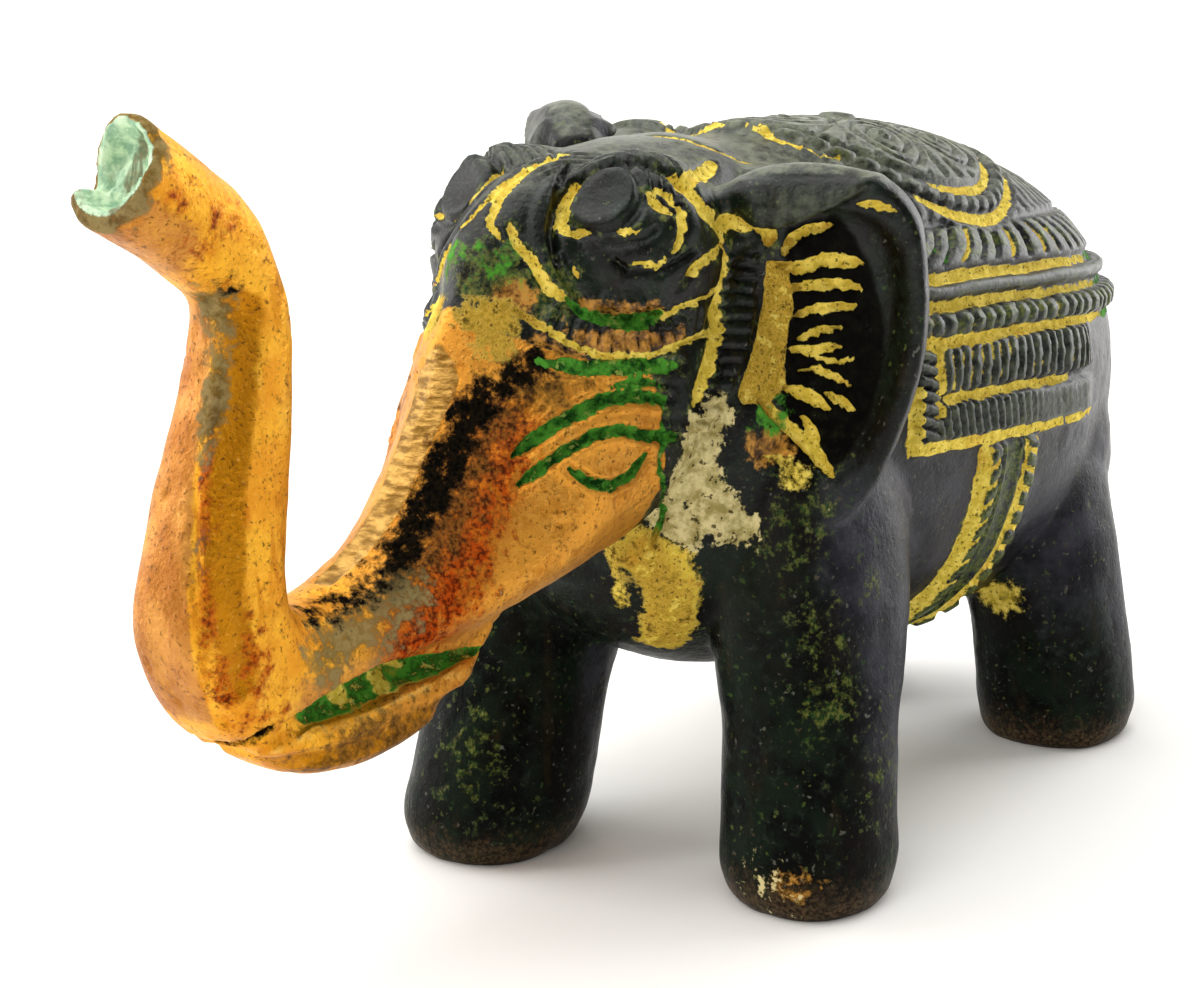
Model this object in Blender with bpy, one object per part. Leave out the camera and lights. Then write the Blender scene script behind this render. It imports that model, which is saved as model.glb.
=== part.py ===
"""Brass elephant with a raised trunk, cast in one solid piece and chased by hand.

The figure faces -X, its left side is at -Y and it stands on Z = 0. Limbs are skins carried along
paths; one remesh melts them into a single casting, which is then carved and thinned.
"""

import math

import bmesh
import bpy
import numpy as np

# The figure is drawn in millimetres at DRAWN_HEIGHT, and MM turns a drawn millimetre into metres.
HEIGHT = 0.058
DRAWN_HEIGHT = 58.0
MM = HEIGHT / DRAWN_HEIGHT

RING_POINTS = 48
SKIN_VOXEL = 0.55
SMOOTHING_ROUNDS = 7
MOST_TRIANGLES = 9400

# Soles are cut flat at the ground, this far above the lowest point of each leg's skin.
SOLE_CUT = 0.7

# Face and trunk from the neck to the tip, as pairs of points in the mid-plane: ridge x, ridge z,
# underside x, underside z, half width, how far down the widest place is, squareness above it and below it.
FACE_AND_TRUNK = (
    (-13.0, 49.0, -13.0, 29.0, 9.0, 0.50, 2.2, 2.2),
    (-23.5, 48.0, -20.5, 27.0, 9.6, 0.55, 2.0, 2.2),
    (-32.5, 46.6, -26.0, 25.6, 9.0, 0.66, 1.5, 2.2),
    (-36.4, 42.8, -30.6, 25.0, 8.4, 0.70, 1.3, 2.2),
    (-38.2, 39.4, -34.6, 24.2, 7.4, 0.74, 1.2, 2.2),
    (-40.3, 36.0, -38.6, 23.4, 6.3, 0.72, 1.2, 2.2),
    (-42.9, 32.3, -42.4, 22.4, 5.2, 0.68, 1.25, 2.2),
    (-46.0, 29.4, -46.4, 21.0, 4.7, 0.62, 1.4, 2.3),
    (-49.5, 28.1, -50.6, 19.8, 4.1, 0.56, 1.8, 2.4),
    (-52.4, 28.4, -57.4, 20.9, 3.9, 0.5, 2.4, 3.2),
    (-53.1, 30.0, -61.3, 27.2, 3.7, 0.5, 3.2, 3.2),
    (-52.8, 32.8, -60.5, 33.8, 3.5, 0.5, 3.2, 3.2),
    (-52.0, 37.5, -58.8, 38.9, 3.2, 0.5, 3.2, 3.2),
    (-51.3, 42.5, -57.2, 43.3, 2.9, 0.5, 2.9, 2.9),
    (-51.1, 46.8, -56.5, 46.4, 2.8, 0.5, 2.4, 2.4),
    (-52.8, 51.0, -57.6, 47.9, 2.9, 0.5, 2.3, 2.3),
    (-56.7, 54.6, -60.4, 49.9, 3.1, 0.5, 2.2, 2.2),
    (-61.1, 57.5, -64.0, 51.9, 3.2, 0.5, 2.1, 2.1),
)

# Barrel of the body, chest to rump, in the same columns.
BODY = (
    (-24.0, 35.0, -24.0, 22.5, 5.0, 0.5, 2.2, 2.2),
    (-21.5, 43.0, -21.5, 18.8, 9.0, 0.5, 2.2, 2.2),
    (-15.0, 49.2, -15.0, 15.0, 12.3, 0.5, 2.2, 2.2),
    (-7.0, 51.2, -7.0, 13.2, 14.8, 0.5, 2.15, 2.15),
    (3.0, 51.8, 3.0, 12.0, 16.0, 0.5, 2.1, 2.15),
    (13.0, 51.0, 13.0, 11.2, 16.1, 0.5, 2.05, 2.15),
    (21.0, 49.0, 21.0, 11.2, 15.7, 0.5, 2.05, 2.15),
    (28.0, 46.2, 28.0, 11.9, 14.3, 0.5, 2.05, 2.15),
    (34.0, 42.4, 34.0, 13.6, 12.0, 0.5, 2.05, 2.1),
    (37.6, 38.7, 37.4, 16.4, 9.5, 0.5, 2.05, 2.1),
    (39.6, 35.2, 39.4, 19.2, 6.8, 0.5, 2.0, 2.0),
    (40.6, 31.0, 40.5, 23.0, 3.6, 0.5, 2.0, 2.0),
    (40.9, 28.0, 40.9, 26.0, 0.7, 0.5, 2.0, 2.0),
)

# Lower lip, the solid core of the mouth behind it, and the tail laid on the rump, in the same columns.
LOWER_LIP = (
    (-34.2, 25.0, -34.2, 22.6, 4.4, 0.5, 2.2, 2.2),
    (-39.5, 22.6, -39.2, 20.0, 4.7, 0.5, 2.2, 2.2),
    (-43.8, 20.6, -43.6, 17.8, 4.6, 0.5, 2.2, 2.2),
    (-48.2, 20.1, -48.4, 17.0, 4.3, 0.5, 2.2, 2.2),
    (-52.6, 20.7, -53.0, 17.8, 3.9, 0.5, 2.2, 2.2),
    (-55.4, 21.6, -56.0, 19.6, 3.0, 0.5, 2.2, 2.2),
)
MOUTH_CORE = (
    (-35.0, 27.0, -35.0, 23.6, 3.6, 0.5, 2.2, 2.2),
    (-40.0, 26.0, -40.0, 20.8, 3.6, 0.5, 2.2, 2.2),
    (-45.0, 25.0, -45.0, 18.6, 3.3, 0.5, 2.2, 2.2),
    (-50.0, 24.0, -50.0, 18.3, 2.9, 0.5, 2.2, 2.2),
    (-54.5, 25.0, -54.5, 20.2, 2.3, 0.5, 2.2, 2.2),
)
TAIL = (
    (37.4, 35.6, 35.4, 33.8, 1.1, 0.5, 2.0, 2.0),
    (39.9, 33.4, 38.1, 31.8, 1.3, 0.5, 2.0, 2.0),
    (41.6, 29.8, 39.6, 29.0, 1.2, 0.5, 2.0, 2.0),
    (42.1, 25.6, 40.1, 25.6, 1.1, 0.5, 2.0, 2.0),
    (41.6, 21.4, 39.6, 21.8, 1.1, 0.5, 2.0, 2.0),
    (40.4, 17.6, 37.8, 18.8, 1.6, 0.5, 2.0, 2.0),
    (38.7, 15.0, 36.4, 16.6, 1.7, 0.5, 2.0, 2.0),
    (36.9, 13.2, 35.8, 14.2, 0.8, 0.5, 2.0, 2.0),
)

# Legs, ground to body: z, x, y, half length, half width. Y is for the elephant's left side.
FRONT_LEFT_LEG = (
    (-0.7, -14.6, -13.1, 3.6, 3.6),
    (0.0, -14.6, -13.1, 5.0, 5.0),
    (1.6, -14.6, -13.1, 5.9, 5.8),
    (6.0, -14.2, -12.9, 6.1, 5.9),
    (12.0, -13.2, -12.4, 6.4, 5.8),
    (18.0, -11.8, -11.4, 7.6, 6.2),
    (26.0, -10.0, -9.6, 8.6, 6.6),
    (34.0, -9.0, -7.6, 8.0, 6.0),
)
FRONT_RIGHT_LEG = (
    (-0.7, -19.4, 11.7, 4.2, 3.8),
    (0.0, -19.4, 11.7, 5.6, 5.2),
    (1.6, -19.3, 11.6, 6.6, 6.2),
    (6.0, -18.5, 11.1, 6.9, 6.5),
    (12.0, -16.6, 10.8, 6.7, 6.3),
    (18.0, -14.0, 10.4, 7.3, 6.4),
    (26.0, -11.0, 9.4, 8.4, 6.6),
    (34.0, -9.0, 7.6, 8.0, 6.0),
)
HIND_LEG = (
    (-0.7, 26.5, -11.2, 4.0, 4.0),
    (0.0, 26.5, -11.2, 5.3, 5.3),
    (1.6, 26.5, -11.2, 6.2, 6.1),
    (6.0, 26.2, -11.0, 6.4, 6.2),
    (12.0, 25.7, -10.4, 6.7, 6.2),
    (18.0, 25.2, -9.5, 7.3, 6.2),
    (26.0, 24.6, -8.0, 7.6, 6.0),
    (34.0, 24.0, -6.6, 7.4, 5.6),
)


def skin_points(keys, count):
    """A smooth curve through the rows of keys, at evenly spread places, with all columns carried along."""
    keys = np.asarray(keys, float)
    steps = np.linalg.norm(np.diff(keys[:, :3], axis=0), axis=1)
    knots = np.concatenate([[0.0], np.cumsum(steps)])
    slopes = np.gradient(keys, knots, axis=0)
    places = np.linspace(0.0, knots[-1], count)
    left = np.clip(np.searchsorted(knots, places) - 1, 0, len(knots) - 2)
    span = (knots[left + 1] - knots[left])[:, None]
    t = ((places - knots[left])[:, None]) / span
    return (
        keys[left] * (2 * t**3 - 3 * t**2 + 1)
        + keys[left + 1] * (3 * t**2 - 2 * t**3)
        + slopes[left] * span * (t**3 - 2 * t**2 + t)
        + slopes[left + 1] * span * (t**3 - t**2)
    )


def rounded(value, squareness):
    """A sine or cosine raised so that the circle becomes a rounder or squarer oval."""
    return np.sign(value) * np.abs(value) ** (2.0 / squareness)


def closed_skin(rings):
    """Points and faces of a closed skin over a grid of rings, each end closed by a fan to its middle."""
    rows, columns, _ = rings.shape
    points = np.concatenate([rings.reshape(-1, 3), [rings[0].mean(axis=0)], [rings[-1].mean(axis=0)]])
    index = np.arange(rows * columns).reshape(rows, columns)
    following = np.roll(index, -1, axis=1)
    sides = np.stack([index[:-1], following[:-1], following[1:], index[1:]], axis=-1).reshape(-1, 4)
    first, last = rows * columns, rows * columns + 1
    start = np.stack([following[0], index[0], np.full(columns, first)], axis=-1)
    end = np.stack([index[-1], following[-1], np.full(columns, last)], axis=-1)
    return points, sides.tolist() + start.tolist() + end.tolist()


def spine_skin(keys, rows):
    """A skin of ovals that stand between a ridge line and an underside line in the mid-plane."""
    ends = [((a + c) / 2, 0.0, (b + d) / 2, (c - a) / 2, (d - b) / 2, *rest) for a, b, c, d, *rest in keys]
    path = skin_points(ends, rows)
    turn = np.linspace(0.0, 2 * math.pi, RING_POINTS, endpoint=False)
    half, widest, crown, keel = (path[:, i, None] for i in range(5, 9))
    above = np.sin(turn) > 0
    square = np.where(above, crown, keel)
    across = rounded(np.cos(turn), square) * half
    down = 2 * widest - 1 - rounded(np.sin(turn), square) * 2 * np.where(above, widest, 1 - widest)
    x = path[:, 0, None] + path[:, 3, None] * down
    z = path[:, 2, None] + path[:, 4, None] * down
    return closed_skin(np.stack([x, across, z], axis=-1))


def leg_skin(keys, rows, mirrored=False):
    """A skin of level ovals up a leg."""
    path = skin_points([(x, y, z, a, b) for z, x, y, a, b in keys], rows)
    turn = np.linspace(0.0, 2 * math.pi, RING_POINTS, endpoint=False)
    x = path[:, 0, None] + path[:, 3, None] * rounded(np.cos(turn), 2.2)
    y = path[:, 1, None] + path[:, 4, None] * rounded(np.sin(turn), 2.2)
    if mirrored:
        y = -y
    z = np.broadcast_to(path[:, 2, None], x.shape)
    return closed_skin(np.stack([x, y, z], axis=-1))


def ball_skin(centre, reach, rows=24):
    """An oval ball."""
    tilt = np.linspace(-0.5 * math.pi, 0.5 * math.pi, rows + 2)[1:-1, None]
    turn = np.linspace(0.0, 2 * math.pi, RING_POINTS, endpoint=False)
    ball = np.stack(
        [np.cos(tilt) * np.cos(turn), np.cos(tilt) * np.sin(turn), np.sin(tilt) * np.ones_like(turn)], axis=-1
    )
    return closed_skin(np.asarray(centre) + ball * np.asarray(reach))


# Outline round the ear from its front top, as distance out from the root line and height.
EAR_OUTLINE = (
    (-1.5, 9.2), (2.2, 10.8), (6.8, 10.9), (10.6, 10.0), (12.9, 7.9), (13.7, 4.2), (13.7, -0.6),
    (12.6, -5.2), (11.0, -9.0), (8.9, -12.0), (6.0, -13.7), (3.0, -13.4), (0.2, -11.4), (-1.6, -8.0),
    (-1.8, -3.0), (-1.6, 3.0),
)
# Across the ear from the middle of its face, over the rim, to the middle of its back: share of reach, height.
EAR_PROFILE = (
    (0.02, -1.3), (0.30, -1.2), (0.58, -0.9), (0.72, -0.3), (0.82, 0.8), (0.91, 1.1), (0.98, 0.2),
    (0.99, -1.2), (0.93, -2.6), (0.70, -3.6), (0.40, -4.2), (0.02, -4.4),
)


# Both ears: root, spread, which side (1 keeps the left, -1 mirrors it) and how much the ear is raised.
EARS = (
    ((-18.0, -9.0, 40.0), (0.54, -0.84), 1.0, 0.0),
    ((-14.0, -7.8, 40.0), (0.70, -0.71), -1.0, 2.8),
)


def ear_skin(root, spread, side, raise_by):
    """A dished plate with a thick rim, its profile carried round the ear's outline."""
    outline = np.asarray(EAR_OUTLINE + EAR_OUTLINE[:1])
    round_path = skin_points([(a, b, 0.0) for a, b in outline], 73)[:-1, :2]
    profile = skin_points([(a, b * 0.1, b) for a, b in EAR_PROFILE], 40)[:, [0, 2]]
    middle = np.array([5.2, -1.2])
    flat = middle + (round_path[None] - middle) * profile[:, 0, None, None]
    ahead = np.broadcast_to(profile[:, 1, None], flat.shape[:2])
    out = np.asarray(spread) / np.linalg.norm(spread)
    x = root[0] + flat[..., 0] * out[0] + ahead * out[1]
    y = root[1] + flat[..., 0] * out[1] - ahead * out[0]
    z = root[2] + flat[..., 1] + raise_by * (0.5 + flat[..., 1] / 20.0)
    rings = np.stack([x, y * side, z], axis=-1)
    if side > 0:
        rings = rings[:, ::-1]
    return closed_skin(rings)


def all_skins():
    """Every limb of the figure as closed skins that overlap their neighbours."""
    yield spine_skin(BODY, 90)
    yield spine_skin(FACE_AND_TRUNK, 170)
    yield spine_skin(LOWER_LIP, 40)
    yield spine_skin(MOUTH_CORE, 30)
    yield spine_skin(TAIL, 50)
    yield leg_skin(FRONT_LEFT_LEG, 60)
    yield leg_skin(FRONT_RIGHT_LEG, 60)
    yield leg_skin(HIND_LEG, 60)
    yield leg_skin(HIND_LEG, 60, mirrored=True)
    yield ball_skin((-16.5, 0.0, 43.4), (17.5, 9.0, 9.0))
    yield ball_skin((-22.0, 0.0, 44.2), (13.0, 5.2, 7.8))
    for side in (-1.0, 1.0):
        yield ball_skin((-22.4, side * 4.6, 45.4), (6.7, 5.7, 6.7))
    for ear in EARS:
        yield ear_skin(*ear)
    yield ball_skin((-9.5, -6.0, 42.5), (8.0, 6.5, 7.6))
    yield ball_skin((-4.3, 8.4, 44.8), (7.0, 6.6, 7.6))


def fused_base():
    """One object holding every skin, melted together by a remesh and smoothed."""
    points, faces, offset = [], [], 0
    for skin, skin_faces in all_skins():
        points.append(skin)
        faces += [[i + offset for i in face] for face in skin_faces]
        offset += len(skin)
    mesh = bpy.data.meshes.new("skins")
    mesh.from_pydata(np.concatenate(points) * MM, [], faces)
    fix = bmesh.new()
    fix.from_mesh(mesh)
    bmesh.ops.recalc_face_normals(fix, faces=fix.faces)
    fix.to_mesh(mesh)
    fix.free()
    base = bpy.data.objects.new("skins", mesh)
    bpy.context.scene.collection.objects.link(base)
    remesh = base.modifiers.new("melt", "REMESH")
    remesh.mode = "VOXEL"
    remesh.voxel_size = SKIN_VOXEL * MM
    smooth = base.modifiers.new("soften", "SMOOTH")
    smooth.factor = 0.5
    smooth.iterations = SMOOTHING_ROUNDS
    return base


def evaluated_copy(source):
    """A plain mesh of an object with its modifiers applied."""
    graph = bpy.context.evaluated_depsgraph_get()
    return bpy.data.meshes.new_from_object(source.evaluated_get(graph))


# Saddle cloth: front edge, rear edge of the skirt, and the fall of its bands for each millimetre back.
CLOTH_FRONT = -4.3
SKIRT_REAR = 22.6
BAND_FALL = 0.07
# Height of the carving against the level of the bands, from the hem to the field above the top band.
SKIRT_SECTION = (
    (29.3, 0.0), (29.9, 0.55), (30.4, 0.65), (32.6, 0.65), (32.9, 0.1), (33.5, 0.1), (33.8, 0.6), (36.5, 0.65),
    (36.9, 0.1), (37.4, 0.1),
)
BAND_SECTION = (
    (36.7, 0.0), (37.4, 0.1), (37.8, 0.7), (38.5, 0.9), (39.1, 0.7), (39.4, 0.1), (39.8, 0.1), (40.1, 0.65),
    (40.5, 0.8), (40.9, 0.65), (41.2, 0.1), (41.6, 0.1), (42.0, 0.5), (60.0, 0.5),
)
# Round field on the back: its middle, and the height of the carving against the distance from the middle.
FIELD_MIDDLE = 9.5
FIELD_SECTION = (
    (0.0, 0.3), (1.6, 0.3), (2.0, -0.2), (2.6, -0.2), (3.0, 0.2), (9.5, 0.2), (9.9, -0.3), (10.4, -0.3), (10.7, 0.2),
    (11.7, 0.2), (11.9, -0.3), (12.5, -0.3), (12.8, 0.0), (40.0, 0.0),
)
# Girth under the belly: its middle, half width, and the height of the carving against the distance from the middle.
GIRTH_SECTION = ((0.0, 0.25), (0.9, 0.25), (1.1, 0.0), (1.6, 0.0), (1.9, 0.45), (3.4, 0.45), (3.7, 0.0), (9.0, 0.0))

# Headdress: middle and reach of the round bosses, and of the ribbed hem below them.
BOSS_MIDDLE = (-26.6, 7.4, 47.2)
HEM_MIDDLE = (-25.3, 7.4, 48.0)
LEAF_MIDDLE = (-28.2, 5.6, 49.0)
BOSS_SECTION = ((0.0, 0.3), (5.3, 0.55), (5.9, 0.3), (6.1, 0.0), (30.0, 0.0))
LEAF_SECTION = ((0.0, 0.7), (1.9, 0.5), (2.3, -0.2), (2.9, -0.2), (3.2, 0.0), (30.0, 0.0))
HEM_SECTION = ((0.0, 0.0), (6.8, 0.0), (7.0, -0.2), (7.4, -0.2), (7.7, 0.6), (8.7, 0.6), (9.1, -0.2), (9.5, 0.0), (30.0, 0.0))

# Cuts with a graver on the left side as x, |y|, z of their corners, with half width and depth; both sides get them.
CUTS = (
    (((-36.0, 5.1, 34.5), (-32.9, 6.6, 36.3), (-30.1, 7.6, 37.2), (-25.3, 9.2, 36.9)), 0.65, 0.5),
    (((-36.2, 5.6, 32.7), (-33.4, 7.0, 34.5), (-29.9, 8.2, 35.3), (-23.6, 9.4, 34.0)), 0.6, 0.5),
    (((-33.0, 7.4, 33.0), (-30.9, 8.4, 31.9), (-28.6, 8.9, 32.3), (-27.2, 9.1, 33.6)), 0.6, 0.5),
    (((-38.6, 4.8, 22.1), (-42.4, 4.3, 21.9), (-47.5, 4.3, 22.2), (-51.8, 4.2, 22.9), (-54.6, 3.9, 22.4)), 0.9, 0.8),
    (((-17.9, 9.2, 46.2), (-20.3, 9.2, 40.3), (-22.9, 9.4, 36.0)), 0.5, 0.35),
    (((-16.2, 10.2, 45.6), (-18.4, 10.2, 40.0), (-20.9, 10.0, 35.2)), 0.5, 0.35),
)
# Flutes of the ear: root and tip as distance out and height from the ear's root.
FLUTES = (
    ((2.6, 6.6), (6.6, 8.4)), ((3.4, 4.6), (8.8, 5.3)), ((3.8, 2.8), (9.0, 2.9)), ((4.0, 1.0), (8.9, 0.8)),
    ((4.0, -0.8), (8.7, -1.4)), ((3.8, -2.6), (8.6, -3.8)), ((3.4, -4.4), (8.3, -6.2)), ((2.8, -6.0), (7.4, -8.8)),
)


def at(section, distance):
    """The height of a carved section at some distances, with its corners joined by straight lines."""
    places, heights = zip(*section)
    return np.interp(distance, places, heights)


def ramp(value, start, end):
    """0 before start, 1 after end and an even rise between."""
    return np.clip((value - start) / (end - start), 0.0, 1.0)


def path_distance(points, corners):
    """Distance of each point from a chain of straight pieces."""
    nearest = np.full(len(points), 1e9)
    for a, b in zip(corners[:-1], corners[1:]):
        a, b = np.asarray(a, float), np.asarray(b, float)
        share = np.clip((points - a) @ (b - a) / ((b - a) @ (b - a)), 0.0, 1.0)
        nearest = np.minimum(nearest, np.linalg.norm(points - a - share[:, None] * (b - a), axis=1))
    return nearest


def carving(points):
    """How far each point of the skin is raised or cut along its normal, in drawn millimetres."""
    x, y, z = points.T
    level = z + BAND_FALL * x
    in_front = ramp(x, CLOTH_FRONT - 0.5, CLOTH_FRONT)
    skirt = at(SKIRT_SECTION, level) * (1 - ramp(x, SKIRT_REAR, SKIRT_REAR + 0.6))
    skirt *= 1 - 0.85 * ramp(0.45 - np.abs(x - CLOTH_FRONT - 2.2), 0.0, 0.25)
    high = np.where(level < 37.1, skirt, at(BAND_SECTION, level)) * in_front
    around = np.hypot(x - FIELD_MIDDLE, y)
    high += np.where(level > 42.0, at(FIELD_SECTION, around), 0.0) * in_front
    below = 1 - ramp(level, 29.0, 29.4)
    high += at(GIRTH_SECTION, np.abs(x - 8.3)) * below * (np.abs(x - 8.3) < 5)

    mirrored = np.stack([x, np.abs(y), z], axis=1)
    head = ramp(-x, 16.5, 17.5)
    boss = np.linalg.norm(mirrored - BOSS_MIDDLE, axis=1)
    hem = np.linalg.norm(mirrored - HEM_MIDDLE, axis=1)
    leaf = np.linalg.norm((mirrored - LEAF_MIDDLE) * (0.8, 1.0, 1.0), axis=1)
    high += (at(BOSS_SECTION, boss) + at(LEAF_SECTION, leaf)) * head * (boss < 6.1)
    high += at(HEM_SECTION, hem) * head * (boss > 6.1) * ramp(46.5 - z, 0.0, 2.0) * ramp(mirrored[:, 1], 1.5, 3.0)
    for corners, half, depth in CUTS:
        high -= depth * np.clip(1.0 - (path_distance(mirrored, corners) / half) ** 2, 0.0, 1.0)

    for root, spread, side, raise_by in EARS:
        out = np.asarray(spread) / np.linalg.norm(spread)
        across = (x - root[0]) * out[0] + (y * side - root[1]) * out[1]
        ahead = (x - root[0]) * out[1] - (y * side - root[1]) * out[0]
        up = (z - root[2] - 0.5 * raise_by) / (1 + raise_by / 20.0)
        near = (np.abs(ahead + 0.3) < 2.2) & (y * side < 0)
        flat = np.stack([across, up], axis=1)
        for flute in FLUTES:
            high -= 0.55 * np.clip(1.0 - (path_distance(flat, flute) / 0.75) ** 2, 0.0, 1.0) * near
    return high


# Tip of the trunk: middle of its end, the way it points, reach and depth of the hollow, and the notch in its rim.
TIP = (-62.6, 0.0, 54.7)
TIP_AIM = (-0.875, 0.0, 0.484)
HOLLOW_REACH = 2.5
HOLLOW_DEPTH = 1.7


def tip_hollow(points):
    """How far each point is pushed back along the trunk for the hollow end and its notch."""
    aim = np.asarray(TIP_AIM)
    apart = points - np.asarray(TIP)
    along = apart @ aim
    from_axis = np.linalg.norm(apart - along[:, None] * aim, axis=1)
    near = ramp(along, -2.6, -1.0)
    hollow = HOLLOW_DEPTH * np.clip(1.2 - 1.2 * (from_axis / HOLLOW_REACH) ** 4, 0.0, 1.0)
    notch = 1.3 * np.clip(1.0 - ((points[:, 2] - TIP[2] + 0.9) / 0.9) ** 2, 0.0, 1.0) * (apart[:, 1] < 0)
    return np.maximum(hollow, notch) * near


def carved(mesh):
    """Move the points of a mesh by the carving."""
    count = len(mesh.vertices)
    flat = np.empty(count * 3)
    mesh.vertices.foreach_get("co", flat)
    points = flat.reshape(-1, 3) / MM
    normals = np.empty(count * 3, dtype=np.float32)
    mesh.vertex_normals.foreach_get("vector", normals)
    moved = points + normals.reshape(-1, 3) * carving(points)[:, None]
    moved -= tip_hollow(points)[:, None] * np.asarray(TIP_AIM)
    mesh.vertices.foreach_set("co", (moved * MM).ravel())
    mesh.update()


def on_flat_soles(mesh):
    """Cut the feet level at the ground and close the cuts."""
    cut = bmesh.new()
    cut.from_mesh(mesh)
    everything = cut.verts[:] + cut.edges[:] + cut.faces[:]
    ground = bmesh.ops.bisect_plane(
        cut, geom=everything, plane_co=(0, 0, 0), plane_no=(0, 0, 1), dist=1e-7, clear_inner=True
    )
    rims = [item for item in ground["geom_cut"] if isinstance(item, bmesh.types.BMEdge)]
    bmesh.ops.holes_fill(cut, edges=rims)
    bmesh.ops.triangulate(cut, faces=[face for face in cut.faces if len(face.verts) > 3])
    bmesh.ops.recalc_face_normals(cut, faces=cut.faces)
    cut.to_mesh(mesh)
    cut.free()


def centred(mesh):
    """Move the mesh so that the ground origin is in the middle of its plan, and return the move."""
    flat = np.empty(len(mesh.vertices) * 3)
    mesh.vertices.foreach_get("co", flat)
    points = flat.reshape(-1, 3)
    middle = 0.5 * (points.min(axis=0) + points.max(axis=0))
    move = np.array([-middle[0], -middle[1], 0.0])
    mesh.vertices.foreach_set("co", (points + move).ravel())
    mesh.update()
    return move


def brass():
    """Patinated brass, dark green to black."""
    material = bpy.data.materials.new("patinated brass")
    material.use_nodes = True
    surface = material.node_tree.nodes["Principled BSDF"]
    surface.inputs["Base Color"].default_value = (0.052, 0.060, 0.044, 1.0)
    surface.inputs["Metallic"].default_value = 0.6
    surface.inputs["Roughness"].default_value = 0.42
    return material


SHIFT = (0.0, 0.0, 0.0)


def main():
    global SHIFT
    for old in list(bpy.data.objects):
        bpy.data.objects.remove(old)
    base = fused_base()
    bpy.context.view_layer.update()
    mesh = evaluated_copy(base)
    bpy.data.objects.remove(base)
    carved(mesh)
    whole = bpy.data.objects.new("carved", mesh)
    bpy.context.scene.collection.objects.link(whole)
    thin = whole.modifiers.new("thin", "DECIMATE")
    thin.ratio = MOST_TRIANGLES / sum(len(face.vertices) - 2 for face in mesh.polygons)
    bpy.context.view_layer.update()
    final = evaluated_copy(whole)
    bpy.data.objects.remove(whole)
    on_flat_soles(final)
    SHIFT = tuple(centred(final))
    final.name = "elephant"
    final.materials.clear()
    final.materials.append(brass())
    elephant = bpy.data.objects.new("elephant", final)
    bpy.context.scene.collection.objects.link(elephant)


main()
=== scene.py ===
"""Small brass elephant with a raised trunk: one casting, chased by hand, with worn paint in its cuts."""

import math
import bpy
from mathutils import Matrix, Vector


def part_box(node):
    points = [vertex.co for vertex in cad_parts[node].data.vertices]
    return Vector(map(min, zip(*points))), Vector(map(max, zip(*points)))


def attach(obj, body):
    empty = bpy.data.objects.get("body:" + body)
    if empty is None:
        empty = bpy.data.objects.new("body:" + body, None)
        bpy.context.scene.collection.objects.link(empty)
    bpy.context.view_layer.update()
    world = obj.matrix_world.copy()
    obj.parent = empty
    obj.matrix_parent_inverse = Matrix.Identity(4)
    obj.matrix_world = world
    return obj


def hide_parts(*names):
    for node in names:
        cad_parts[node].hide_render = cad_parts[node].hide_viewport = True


bl_info = {
    "name": "Brass Elephant",
    "version": (1, 0, 0),
    "blender": (4, 5, 0),
    "location": "View3D > Sidebar > Elephant",
    "description": "Casts, carves and colours a small brass elephant with a raised trunk",
    "category": "Add Mesh",
}

import bmesh
import bpy
import numpy as np
from mathutils import Matrix, Vector

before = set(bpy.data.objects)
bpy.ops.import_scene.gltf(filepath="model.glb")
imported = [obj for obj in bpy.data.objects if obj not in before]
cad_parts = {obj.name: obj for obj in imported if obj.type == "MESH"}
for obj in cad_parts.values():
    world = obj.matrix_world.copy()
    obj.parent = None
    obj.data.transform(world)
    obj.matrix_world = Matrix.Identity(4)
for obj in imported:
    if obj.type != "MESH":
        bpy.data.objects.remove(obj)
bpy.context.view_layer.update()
NODE = "elephant"
MM = 0.001
# How far the drawn plan is moved, in metres, so that the solid stands on its own origin.
DRAWN_TO_ORIGIN = (0.010883, 0.001343, 0.0)

# The photograph's camera: azimuth, elevation and roll in degrees, distance and aim in drawn millimetres,
# and its focal length as a share of the picture's width.
CAMERA_TURN = (-52.28, 13.71, -1.05)
CAMERA_DISTANCE = 166.24
CAMERA_AIM = (-20.37, 0.0, 28.11)
CAMERA_FOCAL = 2413.5 / 1200
FILM_WIDTH = 36.0

# Soft lamps: name, place, the point that each faces and side of its square in metres, and power in watts.
LAMPS = (
    ("top", (0.00, 0.12, 0.60), (0, 0, 0.02), 0.70, 4.6),
    ("from the trunk side", (-0.20, 0.44, 0.20), (-0.02, 0, 0.03), 0.45, 2.2),
    ("from the tail side", (0.46, -0.18, 0.20), (0.02, 0, 0.03), 0.45, 2.2),
    ("by the camera", (-0.46, -0.10, 0.36), (-0.03, 0, 0.03), 0.40, 1.1),
)
# Light of the room: its colour, linear, and its strength.
ROOM_COLOUR = (1.0, 0.95, 0.87, 1.0)
ROOM_STRENGTH = 0.18
# Paper sweep in metres: near edge, where it starts to bend, radius of the bend, top edge and half width.
SWEEP_NEAR = -1.2
SWEEP_FLAT = 0.35
SWEEP_BEND = 0.25
SWEEP_TOP = 1.1
SWEEP_HALF = 1.6

# The forms are drawn in millimetres: the figure faces -X, its left side is at -Y, the ground is Z = 0.
RING_POINTS = 64
LEG_ROWS = 90
LEG_SQUARENESS = 2.2

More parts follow.
